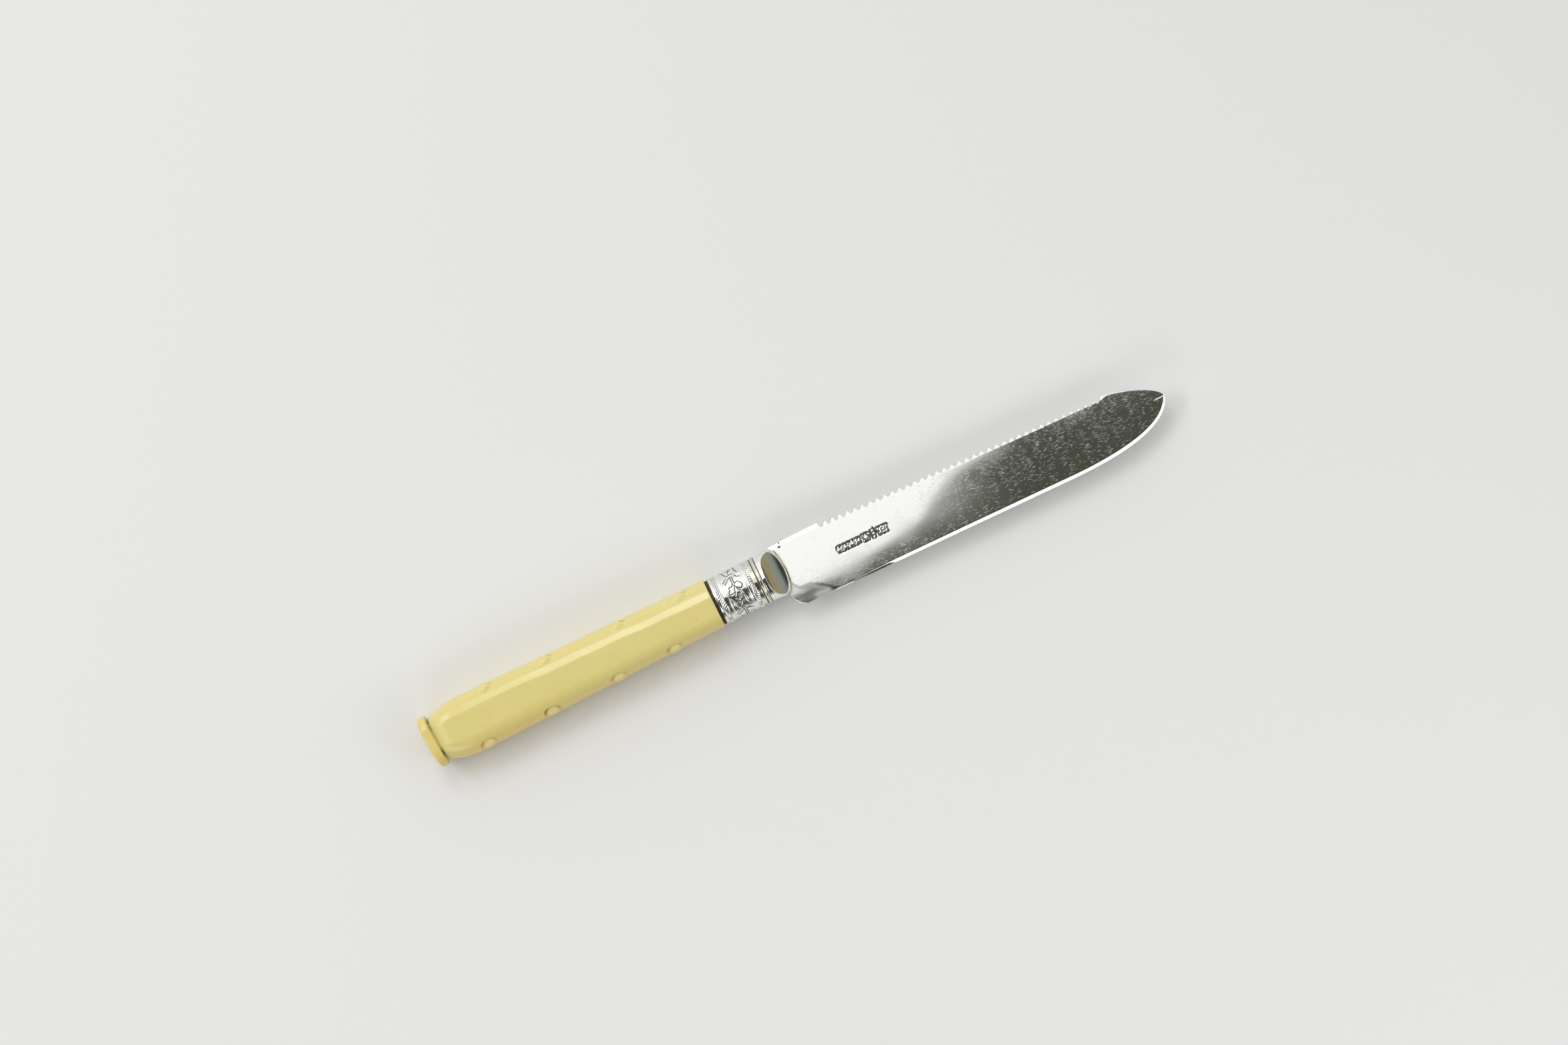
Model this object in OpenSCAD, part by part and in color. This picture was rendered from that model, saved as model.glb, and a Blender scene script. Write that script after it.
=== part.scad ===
// Small saw-toothed bread knife lying on its side: a silver blade forged in one with its
// bolster and tang, an engraved silver ferrule, and a carved pale handle set on with resin.
// X runs along the knife toward the point, +Y is the toothed side, Z is up from the table.

/* [Blade] */
// Length from the heel to the point
blade_l = 110.8; // [95:0.5:130]
// Depth of the blade from its spine to its plain edge, just ahead of the heel
blade_depth = 17.9; // [16:0.1:20]
// How far the spine lies below the middle of the bolster
spine_drop = 10.7; // [10:0.1:12]
// Thickness at the spine beside the heel
blade_t = 1.7; // [1.3:0.05:2.2]
// Thickness lost on the way from the spine to the toothed edge
edge_loss = 0.9; // [0.5:0.05:1]
// Thickness lost on the way from the heel to the point
point_loss = 0.38; // [0.2:0.02:0.4]
// Width of the bright chamfer along the spine
spine_chamfer = 0.8; // [0.4:0.05:1.2]
// Width of that chamfer where the spine curves up to the point
point_chamfer = 1.0; // [0.4:0.05:1.2]
// Width of the ground bevel along the plain edge and the first teeth
edge_bevel = 0.95; // [0.5:0.05:1.1]
// Width of that bevel at the last tooth
last_bevel = 0.5; // [0.3:0.05:0.8]
// Thickness left at the cutting edge
edge_land = 0.3; // [0.2:0.02:0.4]
// Length of the curve from the spine up to the point
point_run = 34.5; // [28:0.5:42]
// Radius of the rounded corner between the heel and the spine
heel_r = 4.2; // [3:0.1:5]

/* [Teeth] */
// Number of teeth
tooth_count = 38; // [10:1:38]
// Distance from one tooth to the next
tooth_pitch = 2.13; // [1.8:0.01:2.2]
// Depth of the gap between two teeth
tooth_depth = 0.9; // [0.5:0.05:1.1]
// Share of the pitch taken by the long flank, on the handle side of each tooth
tooth_rake = 0.6; // [0.5:0.05:0.7]
// Length of the plain edge between the heel and the first gap
plain_edge = 14.3; // [10:0.1:18]
// How far the line of teeth bows out between its ends
edge_bow = 0.25; // [0:0.05:0.5]
// How far the toothed edge draws in toward the spine by its last tooth
edge_draw = 1.6; // [1:0.1:2.2]
// Tilt of the file that cut the gaps, which leaves a small facet on each tooth
file_tilt = 28; // [0:1:40]

/* [Bolster] */
// Diameter of the bolster where it meets the ferrule
neck_d = 12.8; // [12.4:0.1:13]
// Largest diameter of the bolster
bolster_d = 13.2; // [12.9:0.1:13.3]
// Length of the bolster from the ferrule to the tip of its dome
bolster_l = 6.3; // [5.8:0.1:7]
// Length of the domed front
dome_l = 2.5; // [2:0.1:3]
// Radius of the wheel that hollowed the oval facet on each side
facet_r = 6.1; // [5.8:0.1:6.4]
// Height of that wheel's centre above the middle of the blade
facet_rise = 7.5; // [7.3:0.1:7.8]
// How far that wheel's centre lies ahead of the dome
facet_ahead = 0.7; // [0.4:0.1:1]
// How far the blade's heel is set back into the dome
heel_set = 1.6; // [1:0.1:2]

/* [Tang] */
// Length of the tang behind the bolster
tang_l = 58; // [40:1:62]
// Width of the tang at the bolster
tang_w = 4.4; // [3.6:0.1:4.6]
// Thickness of the tang at the bolster
tang_t = 3.2; // [2.4:0.1:3.6]
// Share of the width and thickness that is left at the end of the tang
tang_taper = 0.55; // [0.4:0.05:0.8]

/* [Ferrule] */
// Length of the ferrule with its front bead
ferrule_l = 13.1; // [11:0.1:15]
// Diameter of its plain body
ferrule_d = 12.7; // [12.4:0.1:12.9]
// Thickness of its sheet
ferrule_t = 0.6; // [0.4:0.05:0.8]
// Diameter of the round bead at its front
bead_d = 13.3; // [13.1:0.1:13.5]
// Width of that bead
bead_w = 0.9; // [0.7:0.05:1.1]
// How far the rope bands stand out
band_rise = 0.15; // [0.1:0.01:0.2]
// Width of the rope bands
band_w = 1.3; // [1:0.05:1.6]
// Width of the raised lines beside the scroll field
line_w = 0.35; // [0.25:0.05:0.5]

/* [Handle] */
// Length of the carved handle from the resin seam to its butt
handle_l = 83.3; // [75:0.5:90]
// Width at the front
front_w = 13.4; // [13.3:0.1:14]
// Width of the body beside the butt
butt_w = 16.2; // [15:0.1:17]
// Thickness between the two flat faces
handle_t = 13.3; // [13:0.1:14]
// Half width of the flat face on the toothed side
flat_up = 3.65; // [3:0.05:4.2]
// Half width of the flat face on the spine side
flat_low = 3.0; // [2.4:0.05:3.6]
// Slope of the facet that leaves the flat face on the toothed side
slope_up = 0.3; // [0.1:0.05:0.5]
// Slope of the facet that leaves the flat face on the spine side
slope_low = 0.12; // [0.05:0.01:0.3]
// Angle between the handle's axis and the blade, seen from above
cant = 1.05; // [0:0.05:2]
// Diameter of the tenon inside the ferrule
tenon_d = 11.2; // [10:0.1:11.3]
// Length of that tenon
tenon_l = 10.6; // [8:0.1:11]
// Diameter of the hole for the tang
bore_d = 6; // [5.8:0.1:7]
// Depth of that hole behind the seam
bore_l = 50; // [48:0.5:60]

/* [Butt] */
// Thickness of the flange that ends the handle
flange_t = 2.2; // [1.6:0.1:3]
// Width of the flange, as a share of the full section there
flange_share = 0.89; // [0.84:0.01:0.95]
// Width of the neck before the flange, as a share of the full section there
neck_share = 0.73; // [0.65:0.01:0.8]
// Width of the groove cut at that neck
groove_w = 0.6; // [0.4:0.1:1]
// Length of the rounded shoulder before the groove
shoulder_l = 12; // [8:0.5:16]
// Lean of the flange against the handle's own axis
flange_lean = 3; // [0:0.5:5]
// How far the end of the flange is domed
butt_dome = 0.5; // [0.2:0.1:0.8]

/* [Knots] */
// Height of a carved knot above the edge that it sits on
knot_rise = 0.6; // [0.3:0.05:0.9]
// Radius of a knot
knot_r = 2.1; // [1.7:0.1:2.5]
// Depth of the hollows gouged on both sides of a knot
gouge_depth = 0.5; // [0.2:0.05:0.7]
// Radius of those hollows
gouge_r = 1.0; // [0.8:0.1:1.4]
// Distance from a knot's middle to its hollows
gouge_reach = 2.7; // [2.4:0.1:3.2]
// Distance of the first knot of the toothed side from the seam
knot_first_up = 8.1; // [6:0.1:12]
// Distance of the first knot of the spine side from the seam
knot_first_low = 14.2; // [12:0.1:18]
// Distance from one knot to the next in a row
knot_pitch = 18.4; // [16:0.1:20]
// Number of knots in a row
knot_count = 4; // [1:1:4]

/* [Resin] */
// Thickness of the dark seam between ferrule and handle
seam_w = 0.84; // [0.5:0.02:1.2]
// Diameter of that seam
seam_d = 12.3; // [12:0.1:12.4]

/* [Hidden] */
$fn = 64;
silver = [0.82, 0.82, 0.80];
cream = [0.88, 0.82, 0.56];
pitch_black = [0.13, 0.10, 0.07];

// Lengths along the knife, measured from the plane where ferrule and bolster meet
heel_x = bolster_l - heel_set;
point_x = heel_x + blade_l;
ferrule_back = -ferrule_l;
seam_back = ferrule_back - seam_w;
edge_y = blade_depth - spine_drop;
// The whole knife is centred on its own length and depth and stands on its lowest face
shift_x = -(point_x + seam_back - handle_l) / 2;
shift_y = (spine_drop - edge_y) / 2;
rest_z = max(handle_t, bead_d) / 2;

eps = 0.01;
function mix(a, b, t) = a + (b - a) * t;
function unit(v) = v / norm(v);
// Points of a quadratic and of a cubic curve at t
function quad_at(a, c, b, t) = (1 - t) ^ 2 * a + 2 * t * (1 - t) * c + t ^ 2 * b;
function cubic_at(p, t) =
    (1 - t) ^ 3 * p[0] + 3 * t * (1 - t) ^ 2 * p[1] + 3 * t ^ 2 * (1 - t) * p[2] + t ^ 3 * p[3];

// Turns what is built along the blade's own line onto the line of the handle
module on_handle_line() { rotate([0, 0, cant]) children(); }
module in_place() { translate([shift_x, shift_y, rest_z]) children(); }

// Where the teeth start and end, and the heights of the tooth tips, the point and the heel
teeth_x = heel_x + plain_edge;
teeth_end = teeth_x + tooth_count * tooth_pitch;
tip_y = edge_y - 0.2;
point_y = -1.2;
heel_top = edge_y - 0.45;
// The rounded corner of the heel is taller than it is long
heel_rise = heel_r + 1.9;
// Thickness left at the foot of the chamfer along the spine, and at the hidden heel
spine_land = blade_t * 0.42;
heel_land = 0.8;
function edge_line(x) =
    let (t = (x - teeth_x) / (teeth_end - teeth_x))
    tip_y - edge_draw * t + 4 * edge_bow * t * (1 - t);
// Past the last tooth the edge curves down to the point, and the spine curves up to it
brow = [[teeth_end, edge_line(teeth_end)],
        [teeth_end + 1.5, edge_line(teeth_end) + 1.1],
        [point_x - 0.5, point_y + 3.6],
        [point_x, point_y]];
belly = [[point_x - point_run, -spine_drop],
         [point_x - point_run + 9, -spine_drop],
         [point_x - 3.4, point_y - 9.8],
         [point_x, point_y]];
function heel_arc(t) =
    [heel_x + heel_r * (1 - cos(90 * t)), -spine_drop + heel_rise * (1 - sin(90 * t))];

// Two chains run from the heel to the point, one along the teeth and one along the spine.
// Each of their points has its place, its bevel width and the thickness left at the rim.
curve_steps = 14;
tooth_steps = 10;
corner_steps = 6;
upper_chain = concat(
    [[heel_x, heel_top, edge_bevel, edge_land]],
    [for (t = [0.5, 1])
        [mix(heel_x, teeth_x, t), mix(heel_top, edge_y, sin(90 * t)), edge_bevel, edge_land]],
    [for (i = [0:tooth_steps])
        let (t = i / tooth_steps, x = mix(teeth_x + eps, teeth_end, t))
        [x, edge_line(x), mix(edge_bevel, last_bevel, t), edge_land]],
    [for (i = [1:curve_steps - 1])
        let (t = i / curve_steps, p = cubic_at(brow, t))
        [p[0], p[1], mix(last_bevel, point_chamfer / 2, t), edge_land]]);
spine_steps = len(upper_chain) - corner_steps - curve_steps - 2;
lower_chain = concat(
    [[heel_x, -spine_drop + heel_rise, spine_chamfer / 2, heel_land]],
    [for (i = [1:corner_steps])
        let (p = heel_arc(i / corner_steps)) [p[0], p[1], spine_chamfer, spine_land]],
    [for (i = [1:spine_steps])
        [mix(heel_x + heel_r, point_x - point_run, i / (spine_steps + 1)), -spine_drop,
         spine_chamfer, spine_land]],
    [for (i = [0:curve_steps])
        let (t = i / (curve_steps + 1), p = cubic_at(belly, t), w = sin(180 * sqrt(1 - t)))
        [p[0], p[1], mix(mix(spine_chamfer, point_chamfer / 2, t), point_chamfer, w),
         mix(edge_land, spine_land, sqrt(1 - t))]]);
chain_n = len(upper_chain);
point_rim = [point_x, point_y, point_chamfer / 2, edge_land];
outline = concat(upper_chain, [point_rim], [for (i = [chain_n - 1:-1:0]) lower_chain[i]]);
rim_n = len(outline);

// The two faces slope together toward the edge and toward the point
function half_t(x, y) =
    blade_t / 2 - edge_loss / 2 * (y + spine_drop) / blade_depth
    - point_loss / 2 * (x - heel_x) / blade_l;
function spot(i) = let (p = outline[(i + rim_n) % rim_n]) [p[0], p[1]];
function inward(i) =
    let (a = unit(spot(i) - spot(i - 1)), b = unit(spot(i + 1) - spot(i)), d = unit(a + b))
    [d[1], -d[0]];
function inner(i) = spot(i) + inward(i) * outline[i][2];

module blade_plate() {
    rims = [
        [for (i = [0:rim_n - 1]) let (p = inner(i)) [p[0], p[1], -half_t(p[0], p[1])]],
        [for (i = [0:rim_n - 1]) let (p = spot(i)) [p[0], p[1], -outline[i][3] / 2]],
        [for (i = [0:rim_n - 1]) let (p = spot(i)) [p[0], p[1], outline[i][3] / 2]],
        [for (i = [0:rim_n - 1]) let (p = inner(i)) [p[0], p[1], half_t(p[0], p[1])]]];
    walls = [for (r = [0:2]) for (i = [0:rim_n - 1])
        let (a = r * rim_n + i, b = r * rim_n + (i + 1) % rim_n)
        each [[a, b, b + rim_n], [a, b + rim_n, a + rim_n]]];
    // The two flat faces are strips that join one chain to the other
    strips = concat(
        [for (i = [0:chain_n - 2])
            let (a = i, b = i + 1, c = rim_n - 2 - i, d = rim_n - 1 - i) each [[a, b, c], [a, c, d]]],
        [[chain_n - 1, chain_n, chain_n + 1]]);
    polyhedron(
        points = [for (rim = rims) each rim],
        faces = concat([for (s = strips) [s[2], s[1], s[0]]],
                       walls,
                       [for (s = strips) s + 3 * rim_n * [1, 1, 1]]),
        convexity = 4);
}

// One filed gap: a steep flank, a rounded root and the long flank of the next tooth
gap_reach = 0.3;
gap_root = 0.16;
root_in = 0.8;
root_depths = [0.85, 1, 0.9];
module tooth_gap() {
    long = tooth_pitch * tooth_rake;
    steep = tooth_pitch - long;
    root = tooth_pitch * gap_root;
    over = tooth_depth * gap_reach;
    rotate([file_tilt, 0, 0])
    linear_extrude(height = 4 * blade_t, center = true)
    polygon([[-steep * (1 + gap_reach), over], [-root * root_in, -tooth_depth * root_depths[0]],
             [0, -tooth_depth * root_depths[1]], [root, -tooth_depth * root_depths[2]],
             [long * (1 + gap_reach), over],
             [long * (1 + gap_reach), 3 * tooth_depth],
             [-steep * (1 + gap_reach), 3 * tooth_depth]]);
}

// The bolster is a short barrel with a domed front
dome_steps = 9;
neck_rise = 0.05;
neck_run = 0.5;
module bolster_body() {
    mid_x = bolster_l - dome_l;
    rotate([0, 90, 0])
    rotate_extrude($fn = 96)
    polygon(concat(
        [[0, 0], [neck_d / 2, 0], [neck_d / 2 + neck_rise, neck_run]],
        [for (i = [0:dome_steps])
            let (a = 90 * i / dome_steps)
            [bolster_d / 2 * cos(a), mid_x + dome_l * sin(a)]]));
}

// The wheel cut that hollows one side of the bolster
module facet_cut(side) {
    translate([bolster_l + facet_ahead, 0, side * facet_rise])
    rotate([90, 0, 0])
    cylinder(r = facet_r, h = bolster_d * 2, center = true, $fn = 120);
}

// Square tang, tapered in both directions
module tang() {
    far = -tang_l;
    half_w = tang_w / 2;
    half_h = tang_t / 2;
    intersection() {
        linear_extrude(height = tang_t * 2, center = true)
        polygon([[eps, -half_w], [eps, half_w],
                 [far, half_w * tang_taper], [far, -half_w * tang_taper]]);
        rotate([90, 0, 0])
        linear_extrude(height = tang_w * 2, center = true)
        polygon([[eps, -half_h], [eps, half_h],
                 [far, half_h * tang_taper], [far, -half_h * tang_taper]]);
    }
}

module blade() {
    color(silver)
    in_place()
    union() {
        difference() {
            blade_plate();
            for (i = [0:tooth_count - 1]) {
                x = teeth_x + (i + 1 - tooth_rake) * tooth_pitch;
                translate([x, edge_line(x), 0]) tooth_gap();
            }
        }
        difference() {
            on_handle_line() bolster_body();
            facet_cut(1);
            facet_cut(-1);
        }
        on_handle_line() tang();
    }
}

// Rings of the ferrule from back to front: [start, end, rise]
back_lip = [0, 0.3, 0.08];
back_band = 0.7;
scroll_start = 3.3;
scroll_end = 8.5;
wide_line = line_w + 0.2;
front_band = ferrule_l - bead_w - 2.7;
rings = [back_lip,
         [back_band, back_band + band_w, band_rise],
         [scroll_start - line_w, scroll_start, band_rise],
         [scroll_end, scroll_end + wide_line, band_rise],
         [front_band, front_band + band_w, band_rise]];
// A turned line sets the bead off from the sleeve
bead_line = 0.3;
bead_line_depth = 0.15;
bead_line_x = ferrule_l - bead_w - 0.35;

module ferrule() {
    body_r = ferrule_d / 2;
    bead_r = bead_w / 2;
    bead_x = ferrule_l - bead_r;
    color(silver)
    in_place()
    on_handle_line()
    translate([ferrule_back, 0, 0])
    rotate([0, 90, 0])
    difference() {
        rotate_extrude($fn = 96)
        union() {
            square([body_r, ferrule_l - bead_r]);
            for (r = rings)
                translate([0, r[0]]) square([body_r + r[2], r[1] - r[0]]);
            translate([bead_d / 2 - bead_r, bead_x]) circle(r = bead_r, $fn = 24);
            translate([0, bead_x - bead_r]) square([bead_d / 2 - bead_r, bead_w]);
        }
        translate([0, 0, -1])
        cylinder(d = ferrule_d - 2 * ferrule_t, h = ferrule_l + 2, $fn = 96);
        translate([0, 0, bead_line_x])
        difference() {
            cylinder(r = body_r + 1, h = bead_line);
            translate([0, 0, -1]) cylinder(r = body_r - bead_line_depth, h = 3, $fn = 96);
        }
    }
}

// Handle sections: a rounded box whose corners leave the flat faces at a soft edge
round_steps = 8;
body_l = handle_l - butt_dome - flange_t - groove_w;
function half_w(u) = mix(front_w, butt_w, min(u / body_l, 1)) / 2;
function corner(b, flat, slope, t) =
    quad_at([flat, handle_t / 2], [b, handle_t / 2 - slope * (b - flat)], [b, 0], t);
function quarter(u, side) =
    [for (i = [0:round_steps])
        let (p = side > 0 ? corner(half_w(u), flat_up, slope_up, 1 - i / round_steps)
                          : corner(half_w(u), flat_low, slope_low, i / round_steps))
        [side * p[0], p[1]]];
function section(u) =
    let (top = concat(quarter(u, 1), quarter(u, -1)), n = len(top))
    concat(top, [for (i = [n - 2:-1:1]) [top[i][0], -top[i][1]]]);

// Knots sit on all four long edges, staggered between the two sides
knot_turn_up = 0.52;
knot_turn_low = 0.55;
gouge_shift = 0.5;
function knot_at(u, side, face) =
    let (p = side > 0 ? corner(half_w(u), flat_up, slope_up, knot_turn_up)
                      : corner(half_w(u), flat_low, slope_low, knot_turn_low))
    [u, side * p[0], face * p[1]];
knots = [for (i = [0:knot_count - 1]) for (face = [-1, 1]) for (side = [-1, 1])
    knot_at((side > 0 ? knot_first_up : knot_first_low) + i * knot_pitch, side, face)];
function fall(d, r) = exp(-(d / r) ^ 4);
function knot_swell(p, k) =
    let (away = norm(p - k))
    away > 3 * gouge_reach ? 0 :
    let (in_face = gouge_shift * [0, -sign(k[1]), sign(k[2])],
         back = k + in_face + [gouge_reach, 0, 0],
         ahead = k + in_face - [gouge_reach, 0, 0])
    knot_rise * fall(away, knot_r)
    - gouge_depth * (fall(norm(p - back), gouge_r) + fall(norm(p - ahead), gouge_r));
function carved(p) =
    let (out = unit([0, p[1], p[2]]), h = [for (k = knots) knot_swell(p, k)])
    p + out * (h * [for (k = knots) 1]);

// Each station along the handle: [distance, share of the full section]
front_ease = 0.3;
front_share = 0.965;
fine_step = 0.92;
body_steps = ceil((body_l - front_ease) / fine_step);
function shoulder_share(u) =
    let (d = (body_l - u) / shoulder_l) d >= 1 ? 1 : 1 - (1 - neck_share) * (1 - d) ^ 3;
body_stations = [for (i = [0:body_steps])
    let (u = mix(front_ease, body_l, i / body_steps)) [u, shoulder_share(u)]];
flange_steps = 6;
flange_round = 0.09;
flange_stations = [for (i = [0:flange_steps])
    let (a = 180 * i / flange_steps)
    [body_l + groove_w + flange_t / 2 * (1 - cos(a)),
     flange_share - flange_round * (1 - sin(a))]];
dome_stations = [[handle_l - butt_dome * 0.4, 0.52], [handle_l, 0.2]];
stations = concat(
    [[0, front_share]],
    body_stations,
    [[body_l + groove_w * 0.8, neck_share]],
    flange_stations,
    dome_stations);
function lean(u) = tan(flange_lean) * max(0, (u - body_l + shoulder_l) / (shoulder_l + flange_t));

module handle_loft() {
    loft = [for (s = stations)
        [for (q = section(min(s[0], body_l)))
            let (p = carved([s[0], q[0], q[1]]), v = p[1] * s[1])
            [-(p[0] + lean(s[0]) * v), v, p[2] * s[1]]]];
    n = len(loft[0]);
    m = len(loft);
    walls = [for (j = [0:m - 2]) for (i = [0:n - 1])
        let (a = j * n + i, b = j * n + (i + 1) % n) each [[a, b, b + n], [a, b + n, a + n]]];
    polyhedron(
        points = [for (ring = loft) each ring],
        faces = concat([[for (i = [n - 1:-1:0]) i]], walls, [[for (i = [0:n - 1]) (m - 1) * n + i]]),
        convexity = 6);
}

module handle() {
    color(cream)
    in_place()
    on_handle_line()
    translate([seam_back, 0, 0])
    difference() {
        union() {
            handle_loft();
            translate([-eps, 0, 0]) rotate([0, 90, 0]) cylinder(d = tenon_d, h = tenon_l + eps);
        }
        translate([-bore_l, 0, 0])
        rotate([0, 90, 0])
        cylinder(d = bore_d, h = bore_l + tenon_l + 1, $fn = 48);
    }
}

// Resin fills the hole round the tang, the gap ahead of the tenon and the seam
module resin() {
    hole_r = bore_d / 2;
    sleeve_r = ferrule_d / 2 - ferrule_t;
    tenon_x = seam_back + tenon_l;
    color(pitch_black)
    in_place()
    on_handle_line()
    difference() {
        rotate([0, 90, 0])
        rotate_extrude($fn = 96)
        polygon([[0, seam_back - bore_l], [hole_r, seam_back - bore_l], [hole_r, tenon_x],
                 [tenon_d / 2, tenon_x], [tenon_d / 2, seam_back], [seam_d / 2, seam_back],
                 [seam_d / 2, ferrule_back], [sleeve_r, ferrule_back], [sleeve_r, 0], [0, 0]]);
        tang();
    }
}

blade();
ferrule();
handle();
resin();
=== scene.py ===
"""Dressed model of a small saw-toothed bread knife with a carved pale handle.

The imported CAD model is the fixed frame. Each new surface is a function of two parameters, worked
out with numpy on a grid. It is worked out in millimetres on the knife's own lines: X runs toward
the point, measured from the plane where ferrule and bolster meet, +Y is the toothed side and Z is
up from the middle of the knife. Lines.place() then turns it onto the row's frame in metres.
"""
import logging
import math
from dataclasses import dataclass, field
from enum import Enum
from typing import Any, Callable, Mapping, Optional, Sequence, Tuple

import bpy
import numpy as np
from mathutils import Matrix, Vector


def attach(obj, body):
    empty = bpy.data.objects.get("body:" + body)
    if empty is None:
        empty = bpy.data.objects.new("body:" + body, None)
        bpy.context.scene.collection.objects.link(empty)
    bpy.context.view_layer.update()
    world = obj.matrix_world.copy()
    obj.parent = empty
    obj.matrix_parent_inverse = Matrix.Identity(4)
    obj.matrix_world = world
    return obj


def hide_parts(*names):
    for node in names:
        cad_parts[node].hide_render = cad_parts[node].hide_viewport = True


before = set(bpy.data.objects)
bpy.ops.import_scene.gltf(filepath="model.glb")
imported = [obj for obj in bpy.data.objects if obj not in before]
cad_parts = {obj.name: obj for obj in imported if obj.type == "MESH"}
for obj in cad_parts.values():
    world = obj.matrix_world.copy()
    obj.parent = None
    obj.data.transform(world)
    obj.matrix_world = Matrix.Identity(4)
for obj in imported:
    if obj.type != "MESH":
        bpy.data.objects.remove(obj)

Array = np.ndarray
Color = Tuple[float, float, float, float]
LOG = logging.getLogger("bread_knife")
MM = 0.001


# Small functions on whole arrays

def clip01(value: Array) -> Array:
    """Holds values between 0 and 1."""
    return np.clip(value, 0.0, 1.0)


def smooth_step(low: float, high: float, value: Array) -> Array:
    """Rises from 0 at low to 1 at high along 3t^2 - 2t^3.

    Args:
        low: where the rise starts.
        high: where it ends.
        value: the values to map.

    Returns:
        The mapped values.
    """
    t = clip01((value - low) / (high - low))
    return t * t * (3.0 - 2.0 * t)


def smooth_min(a: Array, b: Array, blend: float) -> Array:
    """The smaller of a and b, with the crease between them rounded over a width of blend."""
    h = clip01(0.5 + 0.5 * (b - a) / blend)
    return b + (a - b) * h - blend * h * (1.0 - h)


def bump(value: Array, width: float) -> Array:
    """A hump of height 1 at 0 that falls away as exp(-(value / width)^2)."""
    return np.exp(-((value / width) ** 2))


def arch(t: Array) -> Array:
    """Half a circle over -1..1: sqrt(1 - t^2), and 0 outside."""
    return np.sqrt(clip01(1 - t * t))


def slope(curve: Callable[[Array], Array], at: Array) -> Array:
    """Slope of a curve at each place, from its rise over a tenth of a millimetre."""
    return (curve(at + 0.05) - curve(at - 0.05)) / 0.1


def joined(*parts: Array) -> Array:
    """Makes points of coordinates whose shapes fit each other."""
    return np.stack(np.broadcast_arrays(*parts), axis=-1)


def cubic(points: Sequence[Tuple[float, float]], count: int) -> Array:
    """Samples a cubic curve.

    Args:
        points: its four control points.
        count: how many samples to take.

    Returns:
        An array of count rows of x and y.
    """
    t = np.linspace(0.0, 1.0, count)[:, None]
    p = np.array(points)
    return ((1 - t) ** 3 * p[0] + 3 * t * (1 - t) ** 2 * p[1]
            + 3 * t ** 2 * (1 - t) * p[2] + t ** 3 * p[3])


def segment_distance(x: Array, y: Array, segments: Array) -> Array:
    """Distance from each point to the nearest of some straight segments.

    Args:
        x: first coordinates of the points.
        y: second coordinates, of the same shape.
        segments: rows of x0, y0, x1, y1.

    Returns:
        The distances, in the shape of x.
    """
    best = np.full(x.shape, 1e9)
    for x0, y0, x1, y1 in segments:
        dx, dy = x1 - x0, y1 - y0
        t = clip01(((x - x0) * dx + (y - y0) * dy) / (dx * dx + dy * dy))
        best = np.minimum(best, np.hypot(x - x0 - t * dx, y - y0 - t * dy))
    return best


def curve_segments(curve: Array) -> Array:
    """Turns a sampled curve into rows of x0, y0, x1, y1."""
    return np.hstack([curve[:-1], curve[1:]])


def rounded(curve: Array) -> Array:
    """Rounds the corners of a line of points, by cutting each off at its quarters, twice."""
    for _ in range(2):
        near, far = curve[:-1], curve[1:]
        cut = np.stack([0.75 * near + 0.25 * far, 0.25 * near + 0.75 * far], axis=1)
        curve = np.vstack([curve[:1], cut.reshape(-1, 2), curve[-1:]])
    return curve


def grid_quads(n: int, m: int, closed_n: bool, closed_m: bool) -> Array:
    """Corner numbers of the faces of a grid of points.

    Args:
        n: how many rings it has.
        m: how many points a ring has.
        closed_n: True joins the last ring to the first.
        closed_m: True joins the last point of a ring to its first.

    Returns:
        Rows of four numbers.
    """
    i, j = np.meshgrid(np.arange(n - 1 + closed_n), np.arange(m - 1 + closed_m), indexing="ij")
    i2, j2 = (i + 1) % n, (j + 1) % m
    return np.stack([i * m + j, i * m + j2, i2 * m + j2, i2 * m + j], axis=-1).reshape(-1, 4)


@dataclass(frozen=True)
class Lines:
    """The knife's own lines in millimetres, and how they lie in the row's frame.

    Attributes:
        point_x: distance of the point from the ferrule's front.
        seam_back: where the handle starts, behind the ferrule and the dark seam.
        handle_l: length of the handle.
        spine_y: the spine's place below the bolster's middle.
        edge_y: the plain edge's place above it.
        rest_z: height of the knife's middle above the table.
        cant: angle in degrees between the blade's line and the handle's.
    """

    point_x: float = 115.5
    seam_back: float = -13.94
    handle_l: float = 83.3
    spine_y: float = -10.7
    edge_y: float = 7.2
    rest_z: float = 6.65
    cant: float = 1.05

    @property
    def middle(self) -> Tuple[float, float]:
        """X and Y of the row's origin on the knife's lines."""
        return (self.point_x + self.seam_back - self.handle_l) / 2, (self.spine_y + self.edge_y) / 2

    def place(self, points: Array, on_handle_line: bool) -> Array:
        """Moves millimetres on the knife's lines to metres in the row's frame.

        Args:
            points: an array whose last axis is x, y, z.
            on_handle_line: True turns the points by the cant first.

        Returns:
            The moved points, in metres.
        """
        moved = np.array(points, float)
        if on_handle_line:
            c, s = math.cos(math.radians(self.cant)), math.sin(math.radians(self.cant))
            x, y = moved[..., 0].copy(), moved[..., 1].copy()
            moved[..., 0], moved[..., 1] = c * x - s * y, s * x + c * y
        moved -= np.array([*self.middle, -self.rest_z])
        return moved * MM


LINES = Lines()


class Ends(Enum):
    """How the two ends of a tube of rings are closed."""

    POLES = "poles"
    RING = "ring"


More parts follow.
